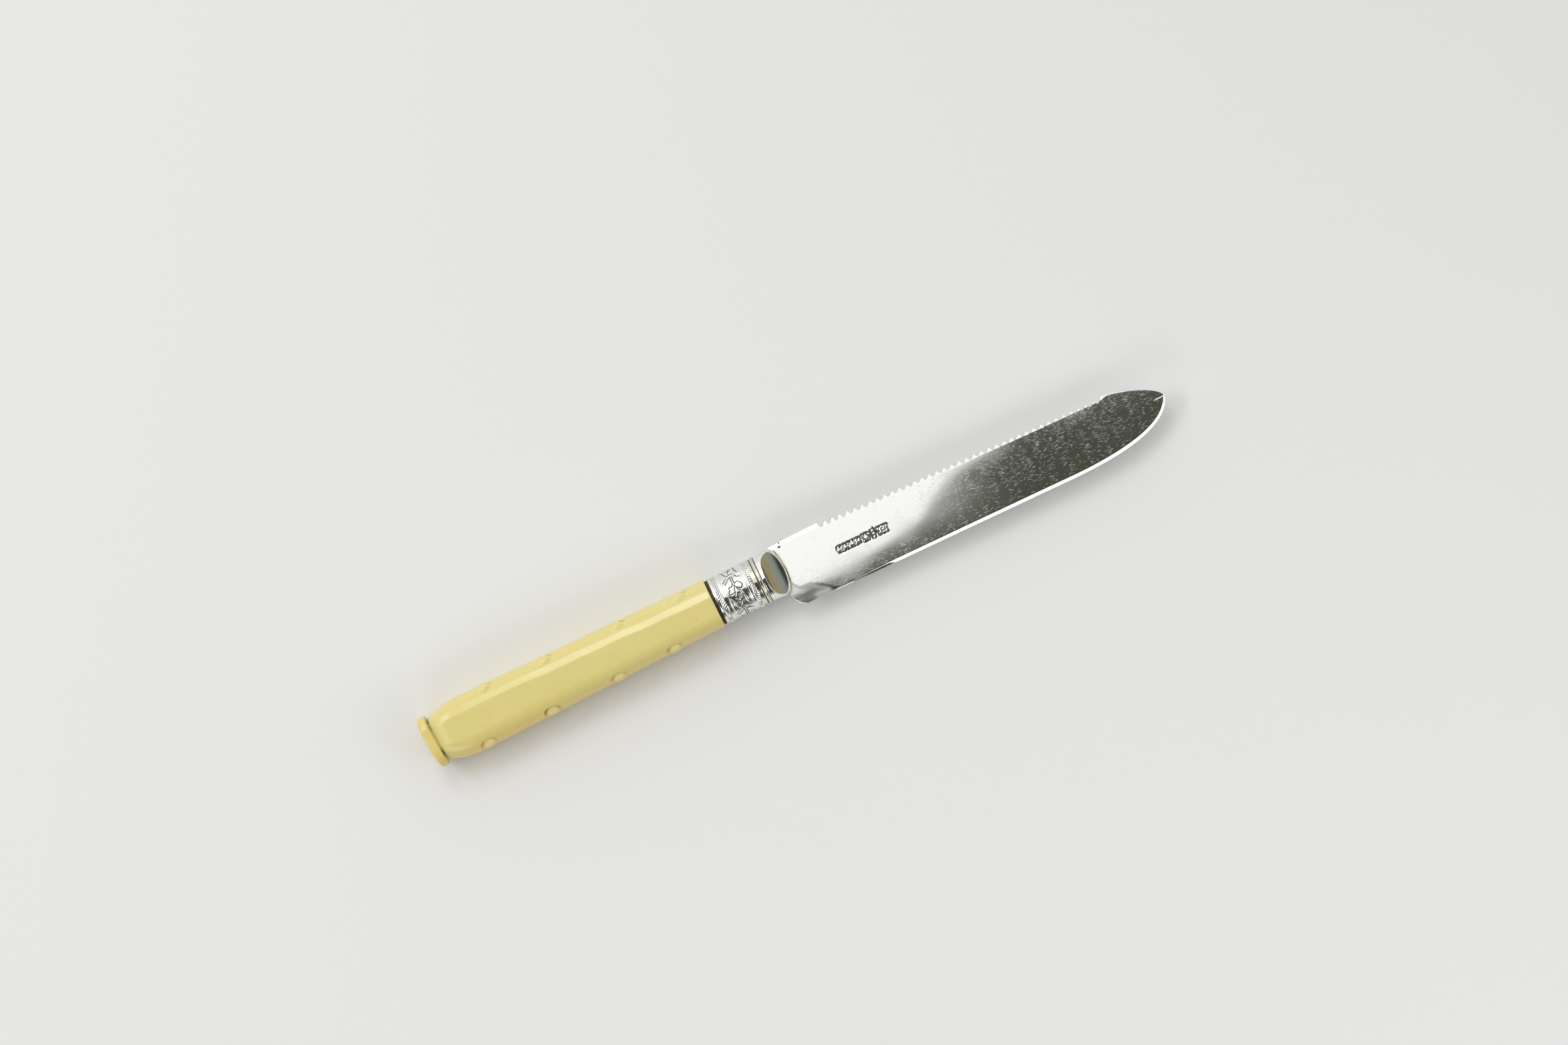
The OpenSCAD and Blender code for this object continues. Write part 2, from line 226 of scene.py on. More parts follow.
@dataclass
class Tube:
    """A closed surface made of rings: points[i, j] is point j of ring i.

    Attributes:
        points: array of rings, points and coordinates.
        masks: named arrays that fit the rings and points, kept as point attributes.
        ends: POLES closes each end with a point, RING joins the last ring to the first.
    """

    points: Array
    masks: Mapping[str, Array] = field(default_factory=dict)
    ends: Ends = Ends.POLES

    def quads(self) -> Array:
        """Corner numbers of the faces between neighbouring rings, as rows of four."""
        n, m = self.points.shape[:2]
        return grid_quads(n, m, self.ends is Ends.RING, True)

    def poles(self) -> Tuple[Array, Array]:
        """The two end points and the triangles that join them to the end rings."""
        n, m = self.points.shape[:2]
        j = np.arange(m)
        j2 = (j + 1) % m
        first = np.stack([np.full(m, n * m), j2, j], axis=-1)
        last = np.stack([np.full(m, n * m + 1), (n - 1) * m + j, (n - 1) * m + j2], axis=-1)
        return self.points[[0, -1]].mean(axis=1), np.vstack([first, last])


def new_object(name: str, data: bpy.types.ID) -> bpy.types.Object:
    """Makes an object at the origin and links it to the scene."""
    made = bpy.data.objects.new(name, data)
    bpy.context.scene.collection.objects.link(made)
    return made


def mesh_object(name: str, tubes: Sequence[Tube], sharp_deg: float,
                material: bpy.types.Material) -> bpy.types.Object:
    """Joins tubes into one mesh object whose faces all point outwards.

    The signed volume of each tube, one sixth of the sum of a . (b x c) over its triangles, says
    whether its faces point inwards, and then their corners are taken in the other order.

    Args:
        name: the object's name.
        tubes: the closed surfaces, in metres.
        sharp_deg: edges that turn by more than this many degrees stay sharp.
        material: its finish.

    Returns:
        The object, at the origin.
    """
    coords, corners, starts, masks = [], [], [], {}
    base = total = 0
    for tube in tubes:
        points = tube.points.reshape(-1, 3)
        quads = tube.quads()
        tris = np.empty((0, 3), int)
        count = len(points)
        if tube.ends is Ends.POLES:
            ends, tris = tube.poles()
            points = np.vstack([points, ends])
        fan = np.vstack([quads[:, :3], quads[:, [0, 2, 3]], tris])
        a, b, c = points[fan[:, 0]], points[fan[:, 1]], points[fan[:, 2]]
        if np.einsum("ij,ij->i", a, np.cross(b, c)).sum() < 0:
            quads, tris = quads[:, ::-1], tris[:, ::-1]
        coords.append(points)
        for part in (quads, tris):
            corners.append((part + base).ravel())
            starts.append(total + np.arange(len(part)) * part.shape[1])
            total += part.size
        for key in {k for t in tubes for k in t.masks}:
            values = np.zeros(len(points))
            if key in tube.masks:
                values[:count] = np.broadcast_to(tube.masks[key], tube.points.shape[:2]).ravel()
            masks.setdefault(key, []).append(values)
        base += len(points)
    mesh = bpy.data.meshes.new(name)
    mesh.vertices.add(base)
    mesh.vertices.foreach_set("co", np.vstack(coords).astype(np.float32).ravel())
    loops = np.concatenate(corners).astype(np.int32)
    mesh.loops.add(len(loops))
    mesh.loops.foreach_set("vertex_index", loops)
    begin = np.concatenate(starts).astype(np.int32)
    mesh.polygons.add(len(begin))
    mesh.polygons.foreach_set("loop_start", begin)
    mesh.update(calc_edges=True)
    mesh.validate()
    mesh.shade_smooth()
    mesh.set_sharp_from_angle(angle=math.radians(sharp_deg))
    for key in sorted(masks):
        layer = mesh.attributes.new(key, "FLOAT", "POINT")
        layer.data.foreach_set("value", np.concatenate(masks[key]).astype(np.float32))
    mesh.materials.append(material)
    LOG.info("%s: %d points, %d triangles", name, base, len(loops) - 2 * len(begin))
    return new_object(name, mesh)


# Node work

class Bench:
    """Adds nodes to one tree and joins them.

    Attributes:
        tree: the node tree that is worked on.
    """

    def __init__(self, tree: bpy.types.NodeTree) -> None:
        """Starts with an empty tree."""
        self.tree = tree
        tree.nodes.clear()

    def add(self, kind: str, inputs: Optional[Mapping[Any, Any]] = None,
            **settings: Any) -> bpy.types.Node:
        """Adds a node.

        Args:
            kind: the node's type, without its ShaderNode prefix.
            inputs: values or sockets for its inputs, by name or number.
            settings: its properties.

        Returns:
            The node.
        """
        node = self.tree.nodes.new(kind if kind.startswith("Node") else "ShaderNode" + kind)
        for key, value in settings.items():
            setattr(node, key, value)
        for key, value in (inputs or {}).items():
            if isinstance(value, bpy.types.NodeSocket):
                self.tree.links.new(value, node.inputs[key])
            else:
                node.inputs[key].default_value = value
        return node

    def math(self, operation: str, *values: Any) -> bpy.types.NodeSocket:
        """Adds a Math node on up to three values and gives its output."""
        return self.add("Math", dict(enumerate(values)), operation=operation).outputs[0]

    def times(self, a: Any, b: Any) -> bpy.types.NodeSocket:
        """Multiplies two values."""
        return self.math("MULTIPLY", a, b)

    def plus(self, base: Any, value: Any, share: float = 1.0) -> bpy.types.NodeSocket:
        """Adds value times share to base."""
        return self.math("MULTIPLY_ADD", value, share, base)

    def ramp(self, value: Any, low: float, high: float) -> bpy.types.NodeSocket:
        """Maps low..high to 0..1 smoothly, held at both ends. low may be above high."""
        return self.add("MapRange", {0: value, 1: low, 2: high, 3: 0.0, 4: 1.0},
                        interpolation_type="SMOOTHSTEP", clamp=True).outputs[0]

    def mix(self, factor: Any, a: Any, b: Any) -> bpy.types.NodeSocket:
        """Mixes two colours."""
        node = self.add("Mix", {"Factor": factor}, data_type="RGBA")
        for number, value in ((6, a), (7, b)):
            if isinstance(value, bpy.types.NodeSocket):
                self.tree.links.new(value, node.inputs[number])
            else:
                node.inputs[number].default_value = value
        return node.outputs[2]

    def noise(self, vector: Any, scale: float, detail: float = 2.0) -> bpy.types.NodeSocket:
        """A noise texture's value."""
        return self.add("TexNoise", {"Vector": vector, "Scale": scale, "Detail": detail}).outputs[0]

    def millimetres(self, stretch: Sequence[float] = (1.0, 1.0, 1.0)) -> bpy.types.NodeSocket:
        """Object coordinates in millimetres, divided by stretch along each axis."""
        at = self.add("TexCoord").outputs["Object"]
        scale = [1.0 / (MM * s) for s in stretch]
        return self.add("Mapping", {"Vector": at, "Scale": scale}).outputs[0]

    def grain(self, stretch: Sequence[float], detail: float = 3.0) -> bpy.types.NodeSocket:
        """Noise whose grains are about as long along each axis as stretch says, in millimetres."""
        return self.noise(self.millimetres(stretch), 1.0, detail)

    def mask(self, name: str) -> bpy.types.NodeSocket:
        """A point attribute of the piece, by name."""
        return self.add("Attribute", attribute_name=name).outputs["Fac"]

    def relief(self, height: Any, strength: float, reach_mm: float) -> bpy.types.NodeSocket:
        """The normals of a bumped surface, whose height of 1 stands for reach_mm."""
        return self.add("Bump", {"Strength": strength, "Distance": reach_mm * MM,
                                 "Height": height}).outputs[0]

    def surface(self, kind: str, inputs: Mapping[Any, Any], output: str = "OutputMaterial") -> None:
        """Adds the shader and the output that it feeds."""
        self.add(output, {"Surface": self.add(kind, inputs).outputs[0]})


def new_material(name: str) -> Tuple[bpy.types.Material, Bench]:
    """Starts a material, and gives it with the bench on its empty tree."""
    material = bpy.data.materials.new(name)
    material.use_nodes = True
    return material, Bench(material.node_tree)


def new_group(name: str, inputs: Mapping[str, Tuple[str, Any]],
              outputs: Mapping[str, str]) -> Tuple[Bench, bpy.types.Node, bpy.types.Node]:
    """Starts a shader node group.

    Args:
        name: the group's name.
        inputs: socket type and start value by socket name.
        outputs: socket type by socket name.

    Returns:
        The bench on its tree, its input node and its output node.
    """
    tree = bpy.data.node_groups.new(name, "ShaderNodeTree")
    bench = Bench(tree)
    for key, (kind, start) in inputs.items():
        socket = tree.interface.new_socket(name=key, in_out="INPUT", socket_type=kind)
        socket.default_value = start
    for key, kind in outputs.items():
        tree.interface.new_socket(name=key, in_out="OUTPUT", socket_type=kind)
    return bench, bench.add("NodeGroupInput"), bench.add("NodeGroupOutput")


# The scratches' layers: turn in degrees, length and width of a cell in millimetres, place of the
# pattern and force.
STROKES = ((2.0, 5.2, 0.19, 0.0, 1.0), (-9.0, 3.8, 0.24, 5.0, 0.9),
           (14.0, 3.2, 0.27, 21.0, 0.9), (58.0, 5.0, 0.6, 9.0, 0.6))


def scratch_group() -> bpy.types.NodeTree:
    """Fine scratches: short strokes in four directions, thinned out in clusters by noise.

    A stroke is the close neighbourhood of a Voronoi point, in cells drawn out along the stroke.
    """
    bench, came, gives = new_group(
        "fine_scratches",
        {"Vector": ("NodeSocketVector", (0.0, 0.0, 0.0)), "Width": ("NodeSocketFloat", 0.1),
         "Cover": ("NodeSocketFloat", 0.5)},
        {"Mask": "NodeSocketFloat"})
    bend = bench.add("TexNoise", {"Vector": came.outputs["Vector"], "Scale": 0.35, "Detail": 2.0})
    bent = bench.add("VectorMath", {0: bend.outputs["Color"], 1: (0.7, 0.7, 0.7),
                                    2: came.outputs["Vector"]}, operation="MULTIPLY_ADD").outputs[0]
    floor = bench.plus(0.80, came.outputs["Cover"], -0.6)
    total: Any = 0.0
    for turn, long, wide, seed, force in STROKES:
        lie = bench.add("Mapping", {"Vector": bent, "Rotation": (0.0, 0.0, math.radians(turn)),
                                    "Location": (seed, seed, seed)}).outputs[0]
        cells = bench.add("Mapping", {"Vector": lie, "Scale": (1.0 / long, 1.0 / wide, 1.0)})
        cell = bench.add("TexVoronoi", {"Vector": cells.outputs[0], "Scale": 1.0,
                                        "Randomness": 1.0}, feature="F1", voronoi_dimensions="2D")
        far = bench.math("DIVIDE", cell.outputs["Distance"], came.outputs["Width"])
        chance = bench.add("SeparateColor", {0: cell.outputs["Color"]}).outputs[0]
        line = bench.times(bench.math("MAXIMUM", bench.math("SUBTRACT", 1.0, far), 0.0),
                           bench.times(bench.times(chance, chance), force))
        patch = bench.add("Mapping", {"Vector": lie, "Scale": (0.22, 0.35, 0.3)}).outputs[0]
        keep = bench.times(bench.math("SUBTRACT", bench.noise(patch, 1.0, 3.0), floor), 8.0)
        keep = bench.math("MINIMUM", bench.math("MAXIMUM", keep, 0.0), 1.0)
        total = bench.math("MAXIMUM", total, bench.times(line, keep))
    bench.tree.links.new(total, gives.inputs["Mask"])
    return bench.tree


def grime_group() -> bpy.types.NodeTree:
    """Grime and painted shade: a mask is kept where it is strong, and frayed by speckled noise
    where it is weak.
    """
    bench, came, gives = new_group(
        "grime",
        {"Vector": ("NodeSocketVector", (0.0, 0.0, 0.0)), "Mask": ("NodeSocketFloat", 0.0),
         "Grain": ("NodeSocketFloat", 2.0)},
        {"GrimeAndShade": "NodeSocketFloat"})
    speck = bench.add("TexNoise", {"Vector": came.outputs["Vector"], "Scale": came.outputs["Grain"],
                                   "Detail": 4.0, "Roughness": 0.65}).outputs[0]
    frayed = bench.plus(came.outputs["Mask"], bench.math("SUBTRACT", speck, 0.5), 0.9)
    kept = bench.times(bench.ramp(frayed, 0.25, 0.75), bench.ramp(came.outputs["Mask"], 0.02, 0.2))
    bench.tree.links.new(kept, gives.inputs["GrimeAndShade"])
    return bench.tree


@dataclass(frozen=True)
class Effects:
    """The node groups that several finishes share."""

    scratches: bpy.types.NodeTree
    grime: bpy.types.NodeTree

    @staticmethod
    def build() -> "Effects":
        """Builds every group once."""
        return Effects(scratch_group(), grime_group())

    def frayed(self, bench: Bench, mask: str, grain: float) -> bpy.types.NodeSocket:
        """A mask of the piece, by name, frayed by noise of the given grain."""
        return bench.add("Group", {"Vector": bench.millimetres(), "Mask": bench.mask(mask),
                                   "Grain": grain}, node_tree=self.grime).outputs["GrimeAndShade"]


@dataclass(frozen=True)
class Silver:
    """Worn silver: a smooth metal with scratches, dull smears, tarnish, dark oxide in its cut
    hollows, painted shade along some creases and a painted reflection on the bolster's ground
    hollow.

    Attributes:
        name: the material's name.
        color: the clean metal.
        dull: roughness of the cleanest places.
        smear: roughness added by smears.
        scratch_width: reach of the scratches, as a share of their cells.
        scratch_cover: how much of the surface is scratched.
        worn_cover: how much more of it where it was cut on.
        grime: colour of the dark oxide in hollows, also used for painted shade along creases.
        tarnish: colour that the metal turns to beside hollows.
        facet_reflection_back: painted reflection colour, warm brown, of the ground hollow toward
            the ferrule.
        facet_reflection_front: its painted reflection colour, blue-grey, toward the blade.
    """

    name: str
    color: Color = (0.90, 0.905, 0.88, 1.0)
    dull: float = 0.030
    smear: float = 0.010
    scratch_width: float = 0.115
    scratch_cover: float = 0.36
    worn_cover: float = 0.31
    grime: Color = (0.035, 0.035, 0.022, 1.0)
    tarnish: Color = (0.60, 0.57, 0.36, 1.0)
    facet_reflection_back: Color = (0.37, 0.31, 0.16, 1.0)
    facet_reflection_front: Color = (0.26, 0.29, 0.26, 1.0)

    def build(self, effects: Effects) -> bpy.types.Material:
        """Builds the material with the shared effects."""
        material, bench = new_material(self.name)
        cover = bench.plus(self.scratch_cover, bench.mask("worn"), self.worn_cover)
        scratch = bench.add("Group", {"Vector": bench.millimetres(), "Width": self.scratch_width,
                                      "Cover": cover}, node_tree=effects.scratches).outputs["Mask"]
        smear = bench.ramp(bench.grain((9.0, 3.5, 3.5)), 0.35, 0.7)
        streak = bench.grain((2.2, 0.20, 1.0))
        ground = bench.grain((0.16, 4.0, 4.0))
        facet = bench.mask("facet")
        dull = bench.times(bench.mask("dull"), bench.plus(0.22, smear, 0.25))
        grime = effects.frayed(bench, "grime", 3.0)
        stain = effects.frayed(bench, "tarnish", 0.8)
        # Painted reflection: the ground hollow's colour runs from brown toward the ferrule to
        # blue-grey toward the blade, with darker streaks.
        hollow = bench.mix(bench.mask("ahead"), self.facet_reflection_back, self.facet_reflection_front)
        hollow = bench.mix(bench.times(ground, 0.35), hollow, self.grime)
        paint = bench.mix(bench.times(stain, 0.6), self.color, self.tarnish)
        paint = bench.mix(facet, paint, hollow)
        paint = bench.mix(grime, paint, self.grime)
        rough: Any = self.dull
        for value, share in ((smear, self.smear), (scratch, 0.19),
                             (bench.ramp(streak, 0.4, 0.8), 0.010), (dull, 1.0), (facet, 0.20)):
            rough = bench.plus(rough, value, share)
        height = bench.plus(bench.times(streak, 0.015), scratch, -0.5)
        height = bench.plus(height, bench.times(ground, facet), 0.3)
        bench.surface("BsdfPrincipled", {
            "Base Color": paint, "Roughness": bench.math("MAXIMUM", rough, bench.times(grime, 0.7)),
            "Metallic": bench.plus(1.0, grime, -0.9), "Normal": bench.relief(height, 0.3, 0.02)})
        return material


@dataclass(frozen=True)
class Bone:
    """Carved bone with a low polish: cloudy cream with a fine grain, painted shade in its carved
    hollows, dark specks of dirt and a brown tint in the groove, and painted warm bounce light on
    the spine side.

    Attributes:
        name: the material's name.
        pale: the lightest cream.
        deep: the warmer cream of the clouds.
        green: the cooler tint of thin places.
        warm: the deeper tint of the flange, and painted warm bounce light on the spine side.
        fleck: colour of the short dark grain marks, also used for the painted shade in the carved
            hollows and the brown tint in the groove.
        grime: colour of the dirt specks in the groove and of the painted shade deepest in the
            carved hollows.
    """

    name: str = "carved_bone"
    pale: Color = (0.76, 0.66, 0.285, 1.0)
    deep: Color = (0.73, 0.60, 0.205, 1.0)
    green: Color = (0.69, 0.64, 0.24, 1.0)
    warm: Color = (0.78, 0.57, 0.15, 1.0)
    fleck: Color = (0.38, 0.30, 0.09, 1.0)
    grime: Color = (0.055, 0.038, 0.014, 1.0)

    def build(self, effects: Effects) -> bpy.types.Material:
        """Builds the material with the shared effects."""
        material, bench = new_material(self.name)
        cloud = bench.grain((18.0, 6.0, 6.0))
        tint = bench.grain((11.0, 5.0, 5.0), 2.0)
        grain = bench.grain((9.0, 0.35, 0.35), 4.0)
        fleck = bench.add("TexVoronoi", {"Vector": bench.millimetres((2.6, 0.35, 0.35)),
                                         "Scale": 1.0}, feature="F1").outputs["Distance"]
        rare = bench.ramp(bench.grain((7.0, 3.0, 3.0), 1.0), 0.56, 0.68)
        dash = bench.times(bench.ramp(fleck, 0.26, 0.12), rare)
        grime = effects.frayed(bench, "grime", 2.4)
        paint: Any = self.pale
        for share, color in ((bench.ramp(cloud, 0.15, 0.85), self.deep),
                             (bench.times(bench.ramp(tint, 0.15, 0.95), 0.6), self.green),
                             (bench.times(bench.ramp(grain, 0.2, 0.9), 0.35), self.deep),
                             (bench.times(dash, 0.28), self.fleck),
                             # Painted warm bounce light on the spine side, and the flange's deeper
                             # tint.
                             (bench.mask("warm"), self.warm),
                             # Painted shade in the carved hollows, and a brown tint in the groove.
                             (bench.times(bench.mask("hollow"), 0.5), self.fleck),
                             (grime, self.grime)):
            paint = bench.mix(share, paint, color)
        rough = bench.math("MAXIMUM", bench.plus(0.18, cloud, 0.08), bench.times(grime, 0.8))
        height = bench.plus(bench.times(grain, 0.25), dash, -0.3)
        bench.surface("BsdfPrincipled", {
            "Base Color": paint, "Roughness": rough, "Normal": bench.relief(height, 0.25, 0.02),
            "Subsurface Weight": 0.12, "Subsurface Scale": 0.0012,
            "Subsurface Radius": (1.0, 0.6, 0.25)})
        return material


@dataclass(frozen=True)
class Resin:
    """Dark cutler's resin: nearly black, with crumbs of brown."""

    name: str = "dark_resin"
    dark: Color = (0.018, 0.013, 0.008, 1.0)
    brown: Color = (0.075, 0.05, 0.026, 1.0)

    def build(self) -> bpy.types.Material:
        """Builds the material."""
        material, bench = new_material(self.name)
        crumb = bench.noise(bench.millimetres(), 1.6, 4.0)
        bench.surface("BsdfPrincipled", {
            "Base Color": bench.mix(bench.ramp(crumb, 0.42, 0.68), self.dark, self.brown),
            "Roughness": bench.plus(0.45, crumb, 0.4), "Normal": bench.relief(crumb, 0.6, 0.08)})
        return material


# The blade

@dataclass
class ToothedBlade:
    """The silver leaf: teeth, bevel, chamfer, heel and the row of struck marks.

    The leaf is a tube of rings along X. Each ring runs up the upper face from the spine to the
    toothed edge and back down the lower face. All lengths are in millimetres.

    Attributes:
        heel_x: where the leaf starts, inside the bolster's dome.
        heel_r, heel_rise: half axes of the quarter ellipse at the spine's heel.
        heel_top: the plain edge's place at the heel.
        plain_edge: length of the edge before the first tooth.
        tooth_count, pitch: how many teeth there are, and how far apart.
        rake: share of a tooth that its long flank takes.
        tip_y, edge_draw, edge_bow: start, drop and bow of the line of the tooth tips.
        file_tilt: angle in degrees by which the file was tilted.
        thick, depth: thickness at the spine's heel, and width of the leaf.
        edge_loss, point_loss: how much thinner it is at the edge and at the point.
        land, spine_land: half the thickness left at the edge and at the spine.
        point_y, point_run: the point's place, and length of the belly's curve.
        wear_reach, wear_slope: width and slope of the worn part at the heel's spine.
        marks_y: middle of the row of marks.
        marks_deep, pits_deep, crack_deep: how deep the marks, the pits and the crack are.
        pits: place and radius of each pit at the heel.
        crack_x, crack_y: where the crack at the point starts.
        speck_x, speck_y: middle of the specks of dirt at the heel.
        fillet_w, fillet_h: width and height of the fillet at the bolster's dome.
        dome_square: square of the face's height where it meets the dome.
        press: distance between rows that are pressed together at the wall of a gap.
        steep, gentle: places of the rings on the two flanks of a gap, from its root.
        gap_profile: place and depth of the four corners of a gap.
        gap_end: end of the last gap, from its root.
    """

    heel_x: float = 4.7
    heel_r: float = 4.2
    heel_rise: float = 6.1
    heel_top: float = 6.75
    plain_edge: float = 14.3
    tooth_count: int = 38
    pitch: float = 2.13
    rake: float = 0.6
    tip_y: float = 7.0
    edge_draw: float = 1.6
    edge_bow: float = 0.25
    file_tilt: float = 28.0
    thick: float = 1.7
    depth: float = 17.9
    edge_loss: float = 0.9
    point_loss: float = 0.38
    land: float = 0.15
    spine_land: float = 0.357
    point_y: float = -1.2
    point_run: float = 34.5
    wear_reach: float = 3.9
    wear_slope: float = 0.10
    marks_y: float = -1.55
    marks_deep: float = 0.10
    pits_deep: float = 0.15
    crack_deep: float = 0.05
    pits: Tuple[Tuple[float, float, float], ...] = ((7.6, 5.8, 0.28), (7.9, 6.75, 0.2))
    crack_x: float = 112.3
    crack_y: float = -1.05
    speck_x: float = 10.8
    speck_y: float = -6.9
    fillet_w: float = 0.5
    fillet_h: float = 0.45
    dome_square: float = 0.7
    press: float = 0.003
    steep: Tuple[float, ...] = (-0.854, -0.70, -0.56, -0.41, -0.273)
    gentle: Tuple[float, ...] = (-0.13, 0.0, 0.17, 0.341, 0.50, 0.66, 0.81, 0.97, 1.12)
    gap_profile: Tuple[Tuple[float, float], ...] = (
        (-0.854, 0.05), (-0.273, 0.87), (0.0, 1.02), (0.341, 0.92))
    gap_end: float = 1.276

    def __post_init__(self) -> None:
        """Works out the ends of the teeth, the two curves to the point and the hand-cut gaps."""
        self.teeth_x = self.heel_x + self.plain_edge
        self.teeth_end = self.teeth_x + self.tooth_count * self.pitch
        last = float(self.edge_line(np.array(self.teeth_end)))
        tip = (LINES.point_x, self.point_y)
        self.brow = cubic([(self.teeth_end, last), (self.teeth_end + 1.5, last + 1.1),
                           (tip[0] - 0.5, tip[1] + 3.6), tip], 300)
        run_x = LINES.point_x - self.point_run
        self.belly = cubic([(run_x, LINES.spine_y), (run_x + 9.0, LINES.spine_y),
                            (tip[0] - 3.4, tip[1] - 9.8), tip], 300)
        draw = np.random.default_rng(7)
        number = np.arange(self.tooth_count)
        self.gap_x = (self.teeth_x + self.pitch * (number + 1 - self.rake)
                      + draw.normal(0.0, 0.025, self.tooth_count))
        self.gap_size = (1.0 + draw.normal(0.0, 0.05, self.tooth_count)
                         - 0.12 * (number / (self.tooth_count - 1)) ** 3)

    def edge_line(self, x: Array) -> Array:
        """Line of the tooth tips: it drops by edge_draw and bows out by edge_bow."""
        t = (x - self.teeth_x) / (self.teeth_end - self.teeth_x)
        return self.tip_y - self.edge_draw * t + 4 * self.edge_bow * t * (1 - t)

    def upper(self, x: Array) -> Array:
        """Toothed side without its gaps: a quarter sine, the tooth line, then the brow's curve."""
        t = clip01((x - self.heel_x) / self.plain_edge)
        plain = self.heel_top + (LINES.edge_y - self.heel_top) * np.sin(t * math.pi / 2)
        brow = np.interp(x, self.brow[:, 0], self.brow[:, 1])
        return np.where(x < self.teeth_x, plain,
                        np.where(x < self.teeth_end, self.edge_line(x), brow))

    def lower(self, x: Array) -> Array:
        """Spine side: a quarter ellipse at the heel, a straight spine, then the belly's curve."""
        t = clip01(1 - (x - self.heel_x) / self.heel_r)
        heel = LINES.spine_y + self.heel_rise * (1 - np.sqrt(1 - t * t))
        belly = np.interp(x, self.belly[:, 0], self.belly[:, 1])
        return np.where(x < self.belly[0, 0], heel, belly)

    def columns(self) -> Array:
        """Places of the rings: even at the heel, on the corners of the gaps, dense at the point."""
        gaps = (self.gap_x[:, None] + np.array(self.steep + self.gentle)).ravel()
        heel = np.linspace(self.heel_x, gaps[0] - 0.06, 84)
        ease = 1 - (1 - np.linspace(0.0, 1.0, 80)) ** 1.7
        start = self.gap_x[-1] + self.gap_end
        tip = start + (LINES.point_x - 0.03 - start) * ease
        return np.concatenate([heel, gaps, tip])

    def gap_depth(self, x: Array) -> Array:
        """Depth of the filed gaps: straight between the corners of gap_profile."""
        from_root, deep = np.array(self.gap_profile).T
        place = (self.gap_x[:, None] + from_root).ravel()
        depth = (self.gap_size[:, None] * deep).ravel()
        end = self.gap_x[-1] + self.gap_end
        place = np.concatenate([[place[0] - 0.06], place, [end, end + 0.124]])
        return np.interp(x, place, np.concatenate([[-0.3], depth, [0.05, -0.3]]))

    def half_thickness(self, x: Array, y: Array) -> Array:
        """Half the thickness: it falls evenly toward the edge and toward the point."""
        return (self.thick / 2 - self.edge_loss / 2 * (y - LINES.spine_y) / self.depth
                - self.point_loss / 2 * (x - self.heel_x) / (LINES.point_x - self.heel_x))

    def bevel_width(self, x: Array) -> Array:
        """Width of the ground bevel: broad along the first teeth, narrow past the last one."""
        return np.interp(x, [0.0, 19.0, 50.0, 60.0, 75.0, 82.0, 99.0, 101.5, 115.0],
                         [0.7, 0.9, 0.95, 0.88, 0.78, 0.7, 0.5, 0.14, 0.12])

    def chamfer_width(self, x: Array) -> Array:
        """Width of the chamfer along the spine: broad and worn at the heel, even further on."""
        return np.interp(x, [4.0, 15.0, 19.0, 24.0, 34.0, 88.0, 104.0, 113.0],
                         [0.5, 0.5, 0.4, 0.55, 0.85, 1.0, 0.9, 0.7])

    def marks(self, x: Array, y: Array) -> Array:
        """Row of plain punch shapes: 1 in a struck recess, 0 outside it and on raised figures."""
        v = y - self.marks_y

        def box(cx: float, half_w: float, half_h: float, corner: float) -> Array:
            """Signed distance to a box with rounded corners."""
            dx, dy = np.abs(x - cx) - half_w + corner, np.abs(v) - half_h + corner
            outside = np.hypot(np.maximum(dx, 0), np.maximum(dy, 0))
            return outside + np.minimum(np.maximum(dx, dy), 0) - corner

        def dot(cx: float, cy: float, r: float) -> Array:
            """Signed distance to a disc."""
            return np.hypot(x - cx, v - cy) - r

        def lozenge(cx: float, cy: float, half_w: float, half_h: float) -> Array:
            """Signed distance, nearly, to a lozenge."""
            share = np.abs(x - cx) / half_w + np.abs(v - cy) / half_h
            return (share - 1) * min(half_w, half_h) * 0.8

        wave = 0.05 * np.sin(5.0 * x + 2.0 * v) + 0.04 * np.sin(3.1 * v - 7.3 * x)
        recess = wave + np.minimum.reduce([
            box(24.4, 3.5, 1.12, 0.5),
            np.maximum(lozenge(29.15, 0.0, 1.6, 2.7), box(29.15, 1.05, 1.3, 0.2)),
            box(31.35, 0.85, 1.4, 0.7), box(33.95, 1.65, 1.3, 0.45)])
        raised = [box(cx + dx, 0.15, 0.70, 0.08)
                  for cx in (22.35, 24.3, 26.25) for dx in (-0.24, 0.24)]
        raised += [lozenge(cx, 0.0, 0.5, 0.85) for cx in (21.4, 23.3, 25.25, 27.2)]
        raised += [lozenge(29.15, 0.0, 0.75, 0.85)]
        raised += [dot(cx, cy, 0.2) for cx in (28.45, 29.85) for cy in (0.62, -0.62)]
        raised += [dot(31.35, cy, 0.36) for cy in (-0.85, 0.0, 0.85)]
        raised += [box(cx, 0.18, 0.88, 0.1) for cx in (32.85, 33.4, 34.5, 35.05)]
        raised += [dot(33.95, cy, 0.26) for cy in (-0.55, 0.1, 0.7)]
        figure = np.minimum.reduce(raised) - wave
        return smooth_step(0.08, -0.08, recess) * smooth_step(-0.06, 0.08, figure)

    @staticmethod
    def swell(x: Array, y: Array) -> Array:
        """Slow waves that the hammer and the polishing left on the broad faces."""
        return 0.010 * np.sin(x / 6.1 + 0.5) * np.cos(y / 7.0) + 0.003 * np.sin(x / 3.3 + y / 4.0)

